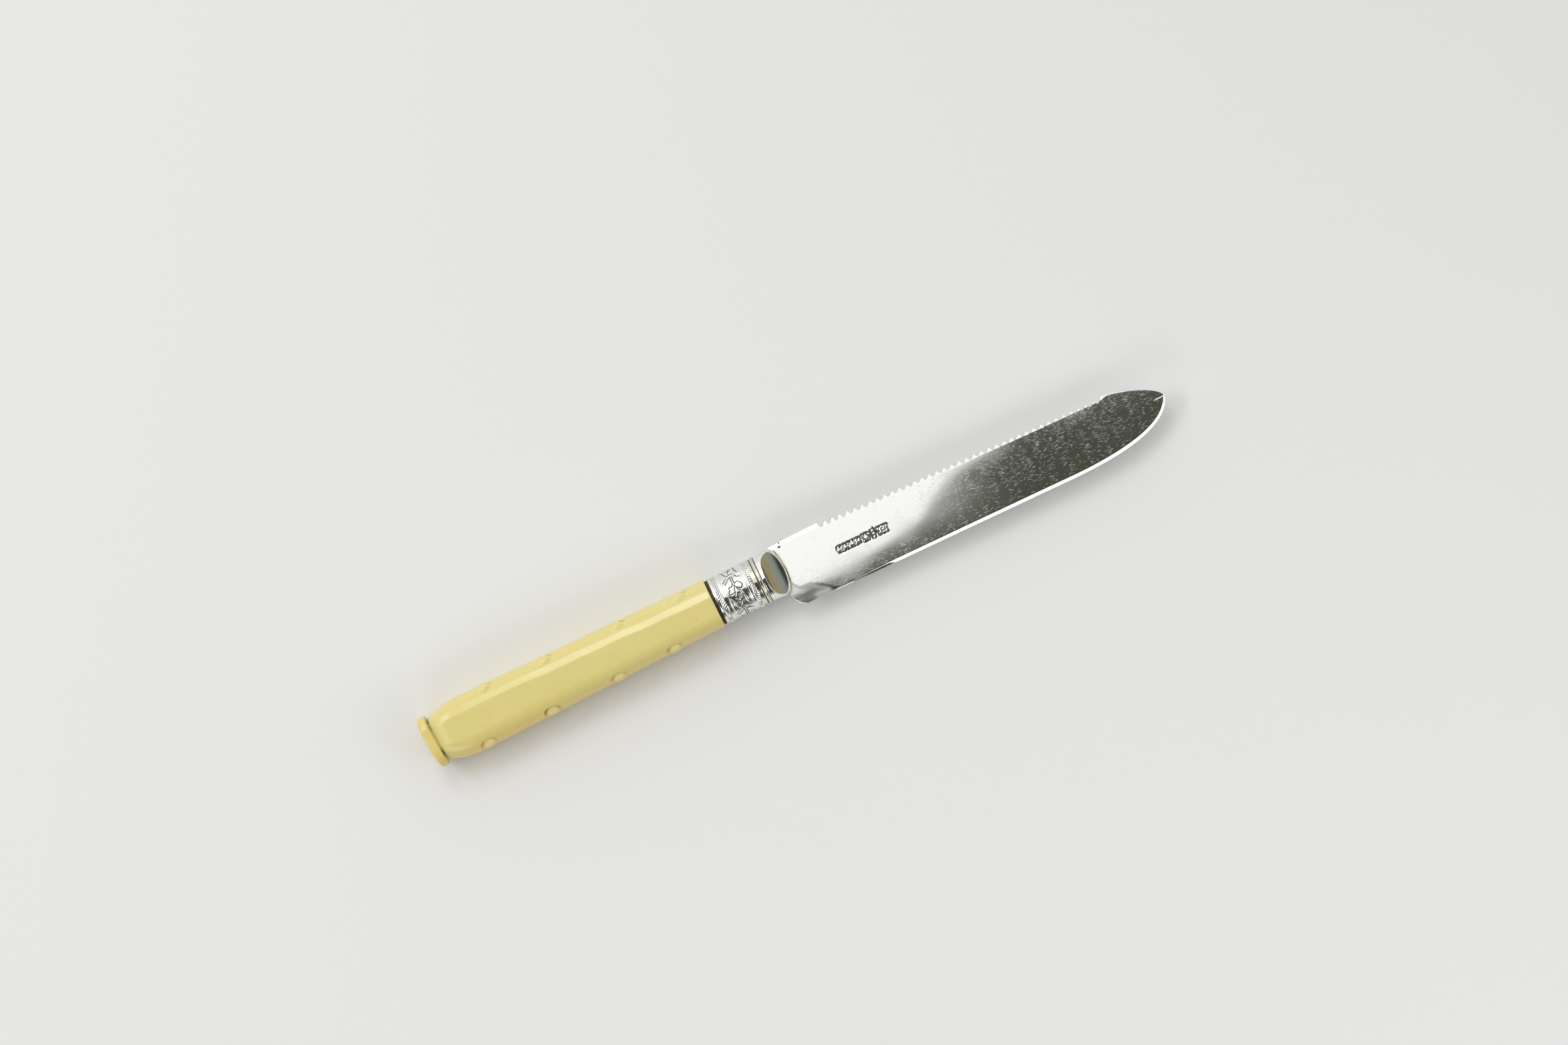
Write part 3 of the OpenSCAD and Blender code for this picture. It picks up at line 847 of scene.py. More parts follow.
    def top(self, x: Array, y: Array) -> Tuple[Array, Mapping[str, Array]]:
        """Upper face: the flat, cut down by chamfer and bevel, with fillet, dents and marks.

        Args:
            x: places along the blade.
            y: places across it, of the same shape.

        Returns:
            The heights, and the masks by name.
        """
        face = self.half_thickness(x, y) + self.swell(x, y)
        near_spine = (y - self.lower(x)) / np.sqrt(1 + slope(self.lower, x) ** 2)
        lean = np.where(x < self.teeth_end, 0.0, slope(self.upper, x))
        near_edge = (self.upper(x) - y) / np.sqrt(1 + lean ** 2)
        at_spine = self.half_thickness(x, self.lower(x))
        at_edge = self.half_thickness(x, self.upper(x))
        rim = self.spine_land + (self.land - self.spine_land) * smooth_step(88.0, 115.0, x)
        chamfer = rim + (at_spine - rim) * near_spine / self.chamfer_width(x)
        bevel = self.land + (at_edge - self.land) * near_edge / self.bevel_width(x)
        reach = self.wear_reach * smooth_step(18.0, 11.5, x + 0.25 * near_spine)
        worn = at_spine - self.wear_slope * (reach - near_spine)
        z = smooth_min(smooth_min(face, chamfer, 0.04), bevel, 0.03)
        z = smooth_min(z, np.where(reach > 0.1, worn, 9.0), 0.09)
        dome = Bolster.front(y * y + self.dome_square)
        away = clip01((x - dome) / self.fillet_w)
        z = z + self.fillet_h * (1 - np.sqrt(1 - (1 - away) ** 2)) * (np.abs(y) < Bolster.neck_r)
        marks = self.marks(x, y)
        pits = sum(bump(np.hypot(x - pit_x, y - pit_y), r) for pit_x, pit_y, r in self.pits)
        crack = bump(y - (self.crack_y + 0.03 * np.sin(x * 5)), 0.06)
        crack = crack * smooth_step(self.crack_x, self.crack_x + 0.5, x)
        z = z - self.marks_deep * marks - self.pits_deep * pits - self.crack_deep * crack
        specks = bump(np.hypot((x - self.speck_x) / 2.6, (y - self.speck_y) / 0.7), 1.0)
        # Painted shade: a dark line along the foot of the bolster's dome, mixed in with the oxide
        # of the marks and pits.
        seam = bump(x - dome - 0.12, 0.16) * (np.abs(y) < 6.2)
        grime = 0.78 * marks + 1.2 * pits + 0.55 * seam + 0.5 * specks
        tarnish = 0.9 * smooth_step(dome + 1.9, dome, x) + 0.35 * specks
        dull = smooth_step(reach + 0.9, reach - 0.6, near_spine) * smooth_step(0.1, 2.0, reach)
        cut_on = np.maximum(smooth_step(34.0, 56.0, x),
                            smooth_step(-4.8, -7.2, y) * smooth_step(14.0, 20.0, x))
        return z, {"grime": clip01(grime), "tarnish": clip01(tarnish), "dull": dull, "worn": cut_on}

    def rings(self) -> Tube:
        """Works out the leaf.

        The rows of a face stand at set distances from the spine, more closely at the chamfer, at
        the marks and at the edge. In a gap the outer rows are pressed together at the gap's wall.
        The file was tilted, so a gap reaches further in on the upper face than on the lower one:
        q = p + z tan(tilt), with z the height of the face where the wall meets it.
        """
        x = self.columns()[:, None]
        low, high = self.lower(x), self.upper(x)
        tan = math.tan(math.radians(self.file_tilt))
        face_z = self.half_thickness(x, high)
        rise = (face_z - self.land) / self.bevel_width(x)
        p = self.gap_depth(x)
        above = np.minimum((p + tan * self.land) / (1 - tan * rise), p + tan * face_z)
        below = np.maximum((p - tan * self.land) / (1 + tan * rise), p - tan * face_z)
        fine = np.concatenate([
            [0.0, 0.08, 0.18, 0.3, 0.45, 0.6, 0.72, 0.82, 0.92, 1.05, 1.3, 1.7, 2.2, 2.8],
            np.arange(3.5, 7.0, 0.75), np.linspace(7.4, 10.95, 30), np.arange(11.5, 16.0, 0.75),
            [16.3, 16.55, 16.75, 16.9, 17.02, 17.14, 17.26, 17.38, 17.5, 17.6, 17.7, 17.8, 17.9]])
        coarse = np.concatenate([[0.0, 0.15, 0.4, 0.7, 0.9, 1.2], np.arange(2.0, 16.0, 1.0),
                                 [16.2, 16.6, 16.9, 17.2, 17.5, 17.7, 17.9]])
        parts = []
        for rows, cut, side in ((fine, above, 1), (coarse[::-1], below, -1)):
            wall = high - np.maximum(cut, 0.0)
            from_edge = np.arange(len(rows))[::-side]
            y = np.minimum(low + (high - low) * (rows / self.depth), wall - self.press * from_edge)
            z, masks = self.top(x, y)
            if side < 0:
                marks = self.marks(x, y)
                z = z + self.marks_deep * marks
                masks["grime"] = masks["grime"] * (1 - marks)
            parts.append((joined(x, y, side * z), masks))
        points = np.concatenate([part[0] for part in parts], axis=1)
        masks = {key: np.concatenate([part[1][key] for part in parts], axis=1)
                 for key in parts[0][1]}
        return Tube(LINES.place(points, False), masks)

    def make(self, metal: bpy.types.Material) -> bpy.types.Object:
        """Builds the leaf and dresses it."""
        return mesh_object("blade_leaf", [self.rings()], 35.0, metal)


@dataclass
class Bolster:
    """The domed bolster with a hollow-ground oval on each side, and the hidden tang behind it.

    Attributes:
        neck_r, barrel_r: radius at the ferrule and at the dome's foot.
        barrel_l, dome_l: lengths of the barrel and of the dome.
        wheel_x, wheel_z, wheel_r: middle and radius of the wheel that ground the hollow.
        rim: width over which the hollow's rim is rounded.
        around: how many points a ring has.
        tang_l, tang_w, tang_t: length, width and thickness of the tang.
        tang_taper: share of its width and thickness that is left at its end.
    """

    neck_r: float = 6.4
    barrel_r: float = 6.6
    barrel_l: float = 3.8
    dome_l: float = 2.5
    wheel_x: float = 7.0
    wheel_z: float = 7.5
    wheel_r: float = 6.1
    rim: float = 0.30
    around: int = 400
    tang_l: float = 58.0
    tang_w: float = 4.4
    tang_t: float = 3.2
    tang_taper: float = 0.55

    @classmethod
    def front(cls, square: Array) -> Array:
        """X of the dome at a squared distance from its axis: barrel_l + dome_l cos(a)."""
        share = clip01(1 - square / cls.barrel_r ** 2)
        return cls.barrel_l + cls.dome_l * np.sqrt(share)

    def rings(self) -> Tube:
        """A barrel of radius neck_r to barrel_r, then a dome r = barrel_r cos(a).

        The radius is held down by the wheel's hollow, whose height is
        wheel_z - sqrt(wheel_r^2 - (wheel_x - x)^2), with a rounded rim between the two.
        """
        a = np.linspace(0.0, math.pi / 2, 90)[1:-1]
        barrel_x = np.linspace(0.0, self.barrel_l, 78)
        x = np.concatenate([barrel_x, self.barrel_l + self.dome_l * np.sin(a)])
        swell = smooth_step(0.0, self.barrel_l, barrel_x)
        ease = self.neck_r + (self.barrel_r - self.neck_r) * swell
        lip = 0.10 * smooth_step(0.28, 0.0, barrel_x)
        r = np.concatenate([ease - lip, self.barrel_r * np.cos(a)])[:, None]
        x = x[:, None]
        turn = np.linspace(0.0, 2 * math.pi, self.around, endpoint=False)[None, :]
        inside = np.clip(self.wheel_r ** 2 - (self.wheel_x - x) ** 2, 0.0, None)
        hollow = np.where(inside > 0, self.wheel_z - np.sqrt(inside), 50.0)
        reach = hollow / np.maximum(np.abs(np.sin(turn)), 1e-3)
        held = smooth_min(r, np.minimum(reach, 60.0), self.rim)
        held = np.where(r < 1.2, np.minimum(held, r), held)
        # facet marks the ground hollow and ahead runs along it; the silver finish paints a
        # reflection there, brown toward the ferrule and blue-grey toward the blade.
        return Tube(LINES.place(joined(x, held * np.cos(turn), held * np.sin(turn)), True), {
            "grime": 0.9 * smooth_step(0.25, 0.05, x), "tarnish": 0.4 * smooth_step(5.9, 6.2, x),
            "facet": smooth_step(0.0, 0.3, r - held), "ahead": smooth_step(1.8, 4.6, x)})

    def tang(self) -> Tube:
        """A bar of four sides whose width and thickness fall evenly along its length."""
        x = np.linspace(0.0, -self.tang_l, 12)[:, None]
        share = 1 + (self.tang_taper - 1) * (-x / self.tang_l)
        y = np.array([1.0, -1.0, -1.0, 1.0]) * self.tang_w / 2 * share
        z = np.array([1.0, 1.0, -1.0, -1.0]) * self.tang_t / 2 * share
        return Tube(LINES.place(joined(x, y, z), True))

    def make(self, metal: bpy.types.Material) -> bpy.types.Object:
        """Builds the bolster with its tang and dresses it."""
        return mesh_object("blade_bolster", [self.rings(), self.tang()], 50.0, metal)


# The ferrule

@dataclass
class EngravedFerrule:
    """The silver sleeve: turned lines, two rope bands, an engraved scroll field and a bead.

    Places are distances from its back end, and all lengths are in millimetres.

    Attributes:
        length, body_r, inner_r: length of the sleeve, its plain radius and its bore's.
        bead_top, bead_w: radius and width of the bead at its front.
        rope_rise, strands: height of the rope bands, and how many strands go round.
        ropes: start, width and lean of each rope band.
        ridges: start, width and height of each ring line.
        line_x, line_deep: place and depth of the turned line.
        around: how many points a ring has.
        repeats: how often the scroll is repeated round it.
        field_start, field_end: the ends of the scroll field.
        cut_deep, scored_deep: how deep the scroll and its ground are cut.
        stations: first place, last place and count of each run of rings.
    """

    length: float = 13.1
    body_r: float = 6.35
    inner_r: float = 5.8
    bead_top: float = 6.65
    bead_w: float = 0.9
    rope_rise: float = 0.15
    strands: int = 56
    ropes: Tuple[Tuple[float, float, float], ...] = ((0.7, 1.3, 2.7), (9.5, 1.3, -2.6))
    ridges: Tuple[Tuple[float, float, float], ...] = ((2.95, 0.35, 0.13), (8.5, 0.55, 0.14))
    line_x: float = 12.0
    line_deep: float = 0.14
    around: int = 560
    repeats: int = 4
    field_start: float = 3.3
    field_end: float = 8.5
    cut_deep: float = 0.08
    scored_deep: float = 0.02
    stations: Tuple[Tuple[float, float, int], ...] = (
        (0.0, 0.7, 7), (0.78, 2.0, 18), (2.15, 2.9, 5), (2.95, 3.3, 7), (3.38, 8.42, 64),
        (8.5, 9.05, 9), (9.15, 9.45, 3), (9.5, 10.8, 19), (10.95, 11.8, 6), (11.85, 12.15, 6),
        (12.2, 13.1, 16))

    def rope(self, x: Array, s: Array, start: float, width: float,
             lean: float) -> Tuple[Array, Array]:
        """A rope band: an arched band cut by slanting grooves, |cos| of the strand's phase.

        Args:
            x: places along the ferrule.
            s: lengths of arc round it.
            start: where the band starts.
            width: how wide it is.
            lean: phase from its middle to its end. Below 0 it makes arrowheads, not strands.

        Returns:
            The band's height and the mask of its grooves.
        """
        t = (x - start) / width * 2 - 1
        band = arch(t)
        phase = s / self.body_r * self.strands / 2 + lean * (np.abs(t) if lean < 0 else t)
        strand = np.abs(np.cos(phase))
        groove = smooth_step(0.65, 0.2, strand) * (band > 0)
        return self.rope_rise * band * strand, groove * smooth_step(0.0, 0.4, band)

    def scroll(self, x: Array, s: Array) -> Array:
        """Distance to the cut lines of the scroll field: a stem with ivy leaves, repeated."""
        unit = 2 * math.pi * self.body_r / self.repeats
        v = unit / 2 - np.mod(s + unit / 2, unit)
        u = x - (self.field_start + self.field_end) / 2
        curves = [
            [(-0.24, 4.9), (-0.2, 2.5)], [(0.3, 4.9), (0.3, 2.6)], [(0.3, 4.4), (1.0, 4.5)],
            [(-0.5, 4.7), (-1.2, 4.0), (-2.1, 3.1)], [(-1.2, 4.9), (-2.0, 4.4), (-2.4, 3.8)],
            [(1.1, 4.9), (1.6, 4.1), (2.3, 3.9)],
            [(-0.25, 2.4), (-0.5, 2.1), (-0.95, 1.8), (-1.35, 2.05), (-1.75, 1.65), (-1.4, 1.1),
             (-1.95, 0.8), (-2.2, 0.1), (-1.5, -0.15), (-0.85, 0.0)],
            [(0.35, 2.4), (0.8, 2.7), (1.4, 2.7), (1.75, 2.1), (2.3, 1.5), (1.85, 0.8),
             (1.25, 0.5), (0.85, 0.95), (0.25, 1.35)],
            [(0.05, 2.2), (-0.3, 0.7), (-0.75, -0.7)], [(0.1, 2.0), (0.45, 0.8), (0.9, 0.1)],
            [(-2.3, -1.0), (-1.25, -3.9)], [(0.0, -0.6), (0.2, -2.2), (-0.35, -3.6)],
            [(1.5, -0.9), (1.55, -3.1), (2.1, -4.4)], [(-0.95, -1.5), (-0.05, -2.8), (0.85, -1.4)],
            [(0.5, -0.8), (1.3, -0.3)], [(-1.2, -4.0), (-0.6, -4.6), (0.1, -4.0), (0.9, -4.6)]]
        lines = [curve_segments(rounded(np.array(curve))) for curve in curves]
        return segment_distance(u, v, np.vstack(lines))

    def rings(self) -> Tube:
        """Works out the sleeve as a closed ring: the outer side, the two ends and the bore."""
        x = np.concatenate([np.linspace(*row) for row in self.stations])
        turn = np.linspace(0.0, 2 * math.pi, self.around, endpoint=False)
        x, turn = np.meshgrid(x, turn, indexing="ij")
        s = turn * self.body_r
        r = self.body_r + 0.08 * smooth_step(0.34, 0.26, x)
        (back, back_cut), (front, front_cut) = [self.rope(x, s, *band) for band in self.ropes]
        r += back + front
        for start, width, rise in self.ridges:
            r += rise * arch((x - start) / width * 2 - 1)
        in_field = smooth_step(self.field_start, self.field_start + 0.1, x) \
            * smooth_step(self.field_end, self.field_end - 0.1, x)
        cut = smooth_step(0.21, 0.09, self.scroll(x, s)) * in_field
        hatch = np.abs(np.cos((x - 6.0) * 5.5 + 0.8 * np.sin(s * 1.6)))
        scored = smooth_step(0.28, 0.1, hatch) * in_field * smooth_step(1.2, 2.0, np.abs(x - 5.9))
        line = smooth_step(0.16, 0.10, np.abs(x - self.line_x))
        r -= self.cut_deep * cut + self.scored_deep * scored
        r -= self.line_deep * line
        bead_x, bead_r = self.length - self.bead_w, self.bead_top - self.bead_w / 2
        bead = arch(np.clip((x - bead_x) / self.bead_w * 2 - 1, -1.0, 1.0)) * (x > bead_x)
        r = np.maximum(r, bead_r + self.bead_w / 2 * bead - 40 * (bead <= 0))
        r = np.where((bead <= 0) & (x > self.length - 0.01), bead_r, r)
        # Painted shade: a dark band beside the first ridge line, where the ridge would shade the
        # sleeve.
        beside = smooth_step(0.5, 0.1, np.abs(x - self.ridges[0][0] - 0.17)) * 0.4
        grime = clip01(np.maximum.reduce([
            0.75 * cut, 0.4 * scored, 0.95 * back_cut, 0.85 * front_cut, 0.95 * line,
            beside * (r < self.body_r + 0.03)]))
        grime = np.maximum(grime, 0.8 * smooth_step(0.12, 0.0, x))
        tarnish = 0.35 + 0.4 * smooth_step(10.6, 11.6, x)
        turn = turn[:1]
        outer = joined(x, r * np.cos(turn), r * np.sin(turn))
        bore = joined(np.array([[self.length], [0.0]]), self.inner_r * np.cos(turn),
                      self.inner_r * np.sin(turn))
        points = np.concatenate([outer, bore], axis=0)
        points[..., 0] -= self.length
        none = np.zeros((2, self.around))
        masks = {"grime": np.vstack([grime, none]), "tarnish": np.vstack([tarnish, none])}
        return Tube(LINES.place(points, True), masks, Ends.RING)

    def make(self, metal: bpy.types.Material) -> bpy.types.Object:
        """Builds the sleeve and dresses it."""
        return mesh_object("ferrule_sleeve", [self.rings()], 60.0, metal)


# The handle

class Side(Enum):
    """The two long sides of the handle, by the sign of Y."""

    TOOTHED = 1
    SPINE = -1


@dataclass(frozen=True)
class Corner:
    """One long corner of the handle's section.

    Attributes:
        flat: half width of the flat face on this side, at the middle of the handle.
        spread: how much wider it gets with each millimetre toward the butt.
        bevel: width of the plane facet beside it.
        slope: slope of the facet that leaves the flat face.
        knot_turn: share of the corner's curve at which its knots sit.
        knots: distances of its knots from the seam.
        depths: how deep the hollows of each knot are cut.
        strokes: the carving of one knot. Each row is a hump or hollow: its place toward the point,
            its place toward the flat face, its two radii and its height.
    """

    flat: float
    spread: float
    bevel: float
    slope: float
    knot_turn: float
    knots: Tuple[float, ...]
    depths: Tuple[float, ...]
    strokes: Tuple[Tuple[float, float, float, float, float], ...]


@dataclass
class CarvedHandle:
    """The carved handle: a loft of rounded boxes with knots, a shoulder, a groove and a flange.

    Attributes:
        front_w, butt_w, thick: its widths at the seam and at the butt, and its thickness.
        flange_t, flange_share: thickness of the flange, and its share of the full section.
        rim_drop: how much less of the section the flange's two rims have.
        neck_share: share of the section that is left at the groove.
        groove_w, shoulder_l: width of the groove, and length of the shoulder before it.
        lean: angle in degrees by which the flange leans.
        butt_dome: height of the dome that ends it.
        bevel_t: share of a corner's curve that its plane bevel takes.
        corner_points, flat_points: how many points a corner and a flat face have.
        corners: the corners by side.
    """

    front_w: float = 13.4
    butt_w: float = 16.2
    thick: float = 13.3
    flange_t: float = 2.2
    flange_share: float = 0.89
    rim_drop: float = 0.085
    neck_share: float = 0.73
    groove_w: float = 0.6
    shoulder_l: float = 12.0
    lean: float = 3.0
    butt_dome: float = 0.5
    bevel_t: float = 0.16
    corner_points: int = 38
    flat_points: int = 15
    corners: Mapping[Side, Corner] = field(default_factory=lambda: {
        Side.TOOTHED: Corner(
            flat=2.85, spread=0.029, bevel=1.25, slope=0.30, knot_turn=0.58,
            knots=(8.1, 25.7, 46.6, 64.0), depths=(0.8, 0.9, 1.1, 1.2), strokes=(
                (0.0, 0.1, 2.1, 1.5, 0.62), (-0.7, 0.3, 0.9, 0.7, 0.10),
                (2.2, -0.6, 0.8, 0.7, -0.42), (0.9, 1.95, 0.65, 0.36, -0.15),
                (1.8, 1.35, 0.6, 0.38, -0.20), (-0.2, 2.05, 0.7, 0.3, -0.09))),
        Side.SPINE: Corner(
            flat=3.0, spread=0.0, bevel=0.0, slope=0.12, knot_turn=0.55,
            knots=(14.3, 30.6, 50.0, 68.5), depths=(1.0, 0.95, 1.75, 1.1), strokes=(
                (0.0, -0.5, 1.75, 1.2, 0.66), (0.3, 0.5, 0.75, 0.75, 0.32),
                (-2.0, -0.1, 0.42, 0.6, -0.26), (-1.65, 0.65, 0.5, 0.55, -0.36),
                (-1.05, 1.25, 0.6, 0.42, -0.26), (1.3, 1.2, 0.5, 0.35, -0.14),
                (1.9, 0.65, 0.42, 0.45, -0.26), (2.2, -0.2, 0.4, 0.5, -0.16),
                (-0.1, 1.6, 1.2, 0.35, -0.10), (-2.75, -0.4, 0.4, 0.9, 0.10),
                (2.8, -0.6, 0.45, 0.8, 0.08)))})

    @property
    def body_l(self) -> float:
        """Length of the body before the groove."""
        return LINES.handle_l - self.butt_dome - self.flange_t - self.groove_w

    def half_width(self, u: Array) -> Array:
        """Half width: it grows evenly from the front to the butt."""
        return (self.front_w + (self.butt_w - self.front_w) * np.minimum(u / self.body_l, 1.0)) / 2

    def stations(self) -> Tuple[Array, Array]:
        """Distances along the handle and the share of the full section at each.

        The shoulder's share is 1 - (1 - neck_share)(1 - d)^3, with d the distance from the groove
        over shoulder_l. The flange's edge is half a sine, and the end is a shallow dome.
        """
        front = np.array([0.0, 0.06, 0.14, 0.24])
        body = np.linspace(0.34, self.body_l, 470)
        d = clip01((self.body_l - body) / self.shoulder_l)
        t = np.linspace(0.0, 1.0, 24)
        flange = self.body_l + self.groove_w + self.flange_t / 2 * (1 - np.cos(math.pi * t))
        rim = self.flange_share - self.rim_drop * (1 - np.sin(math.pi * t) ** 0.6)
        groove = self.body_l + self.groove_w * np.array([0.3, 0.7, 0.95])
        e = np.linspace(0.0, 1.0, 12)[1:]
        dome = LINES.handle_l - self.butt_dome * (1 - e)
        u = np.concatenate([front, body, groove, flange, dome])
        share = np.concatenate([
            [0.965, 0.985, 0.995, 1.0], 1 - (1 - self.neck_share) * (1 - d) ** 3,
            [self.neck_share - 0.012, self.neck_share - 0.012, self.neck_share + 0.02],
            rim, (self.flange_share - self.rim_drop) * np.sqrt(1 - e ** 2 * 0.985)])
        return u, share

    def corner_curve(self, u: Array, side: Side, t: Array, face: int) -> Array:
        """Points of one corner: a plane bevel, then a quadratic curve to the side's middle.

        Args:
            u: distances along the handle, as a column.
            side: which long side.
            t: shares of the curve, as a row. 0 is at the flat face.
            face: 1 for the upper face, -1 for the lower.

        Returns:
            An array of y and z for each u and t.
        """
        corner = self.corners[side]
        wave = 0.09 * np.sin(u / 4.3 + face) + 0.06 * np.sin(u / 2.1 + 2.0 * side.value)
        flat = corner.flat + corner.spread * (u - 40.0) + wave
        b = self.half_width(u)
        mid_z = self.thick / 2 - corner.slope * (b - flat)
        share = clip01(t / self.bevel_t) * corner.bevel / (b - flat)
        t = clip01((t - self.bevel_t) / (1 - self.bevel_t)) if corner.bevel else t
        start_y = flat + share * (b - flat)
        start_z = self.thick / 2 + share * (mid_z - self.thick / 2)
        y = (1 - t) ** 2 * start_y + 2 * t * (1 - t) * b + t ** 2 * b
        z = (1 - t) ** 2 * start_z + 2 * t * (1 - t) * mid_z
        return joined(side.value * y, face * z)

    def section(self, u: Array) -> Array:
        """The rounded box at each distance, as points round it, from the toothed side's middle."""
        column = u[:, None]
        t = np.linspace(0.0, 1.0, self.corner_points)[None, :]
        w = np.linspace(0.0, 1.0, self.flat_points + 2)[None, 1:-1, None]
        up = {s: self.corner_curve(column, s, t, 1) for s in Side}
        down = {s: self.corner_curve(column, s, t, -1) for s in Side}

        def flat(a: Array, b: Array) -> Array:
            """Points between two corners, along the flat face."""
            return a[:, :1] * (1 - w) + b[:, :1] * w

        return np.concatenate([
            up[Side.TOOTHED][:, ::-1], flat(up[Side.TOOTHED], up[Side.SPINE]),
            up[Side.SPINE][:, :-1], down[Side.SPINE][:, ::-1],
            flat(down[Side.SPINE], down[Side.TOOTHED]), down[Side.TOOTHED][:, :-1]], axis=1)

    def carve(self, points: Array) -> Tuple[Array, Array]:
        """Height of the carving over the plain loft.

        Each stroke of a knot adds rise * exp(-(q^2)^2), with q the distance from the stroke's
        middle in units of its radii, measured along the handle and across its long corner.

        Args:
            points: the plain loft's u, y, z.

        Returns:
            The height and the mask of the hollows, which the bone darkens as painted shade.
        """
        height = np.zeros(points.shape[:2])
        hollow = height.copy()
        for side in Side:
            corner = self.corners[side]
            for u0, depth in zip(corner.knots, corner.depths):
                for face in (1, -1):
                    turn = np.array([[corner.knot_turn]])
                    y0, z0 = self.corner_curve(np.array([[u0]]), side, turn, face)[0, 0]
                    size = math.hypot(y0 * 0.8, z0)
                    ny, nz = abs(y0) * 0.8 / size, abs(z0) / size
                    ahead = u0 - points[..., 0]
                    dy, dz = points[..., 1] - y0, points[..., 2] - z0
                    near = smooth_step(-4.5, -3.0, side.value * dy * ny + face * dz * nz)
                    inward = face * dz * ny - side.value * dy * nz
                    for along, toward, half_l, half_w, rise in corner.strokes:
                        q = ((ahead - along) / half_l) ** 2 + ((inward - toward) / half_w) ** 2
                        swell = near * np.exp(-q * q) * (depth if rise < 0 else 1.0)
                        height += rise * swell
                        hollow += max(-2.1 * rise, 0.0) * swell
        return height, clip01(hollow)

    def rings(self) -> Tube:
        """Works out the handle: sections, carving, then shoulder, groove, flange and its lean."""
        u, share = self.stations()
        column = u[:, None]
        ring = self.section(np.minimum(u, self.body_l))
        tangent = np.roll(ring, -1, axis=1) - np.roll(ring, 1, axis=1)
        out = np.stack([-tangent[..., 1], tangent[..., 0]], axis=-1)
        out /= np.linalg.norm(out, axis=-1, keepdims=True) + 1e-12
        out *= np.sign((out * ring).sum(axis=-1, keepdims=True))
        height, hollow = self.carve(joined(column, ring[..., 0], ring[..., 1]))
        hand = 0.025 * np.sin(column / 3.7 + ring[..., 0] / 2.2)
        hand = hand * np.cos(ring[..., 1] / 2.6 + column / 9.0)
        yz = ring + out * (height + hand)[..., None]
        yz[..., 1] = np.clip(yz[..., 1], -self.thick / 2, self.thick / 2)
        yz *= share[:, None, None]
        ramp = (column - self.body_l + self.shoulder_l) / (self.shoulder_l + self.flange_t)
        tilt = math.tan(math.radians(self.lean)) * np.maximum(ramp, 0.0) * yz[..., 0]
        points = joined(LINES.seam_back - (column + tilt), yz[..., 0], yz[..., 1])
        middle = self.body_l + self.groove_w / 2
        at_groove = np.exp(-((column - middle) / 0.45) ** 2)
        speck = 0.5 * bump(yz[..., 0] + 3.6, 1.7) + 0.4 * smooth_step(1.2, 3.6, yz[..., 0])
        # Dirt specks in the groove, plus painted shade deepest in the carved hollows.
        grime = clip01(at_groove * (0.16 + speck) + 0.3 * hollow ** 2)
        # Painted warm bounce light along the spine side, less on the knots' humps, and the flange's
        # deeper tint.
        spine_bounce = smooth_step(4.1, 7.8, -yz[..., 0]) * (1 - 0.8 * clip01(2.0 * height))
        warm = 0.5 * smooth_step(self.body_l + 0.4, self.body_l + 1.0, column) + 0.70 * spine_bounce
        # hollow: where the bone paints shade in the carved hollows and a brown tint in the groove.
        return Tube(LINES.place(points, True), {
            "grime": grime, "warm": clip01(warm), "hollow": clip01(hollow + 0.6 * at_groove)})

    def make(self, bone: bpy.types.Material) -> bpy.types.Object:
        """Builds the handle and dresses it."""
        return mesh_object("handle_carved", [self.rings()], 40.0, bone)


# The studio

@dataclass(frozen=True)
class Panel:
    """A soft rectangular lamp that faces the knife and that the camera doesn't see.

    Attributes:
        name: the lamp's name.
        middle: place of its middle in metres, before the slide.
        size: lengths of its two sides in metres. The first one is level.
        radiance: how bright it looks, where 1 is white.
        slide: how far it is moved along its first side.
    """

    name: str
    middle: Tuple[float, float, float]
    size: Tuple[float, float]
    radiance: float
    slide: float = 0.0

    def make(self) -> None:
        """Makes the lamp."""
        data = bpy.data.lights.new(self.name, "AREA")
        data.shape = "RECTANGLE"
        data.size, data.size_y = self.size
        data.energy = 4.0 * self.radiance * self.size[0] * self.size[1]
        middle = Vector(self.middle)
        facing = middle.normalized()
        along = Vector((0, 0, 1)).cross(facing).normalized()
        turn = Matrix((along, facing.cross(along), facing)).transposed().to_4x4()
        made = new_object(self.name, data)
        made.matrix_world = Matrix.Translation(middle + along * self.slide) @ turn
        made.visible_camera = False


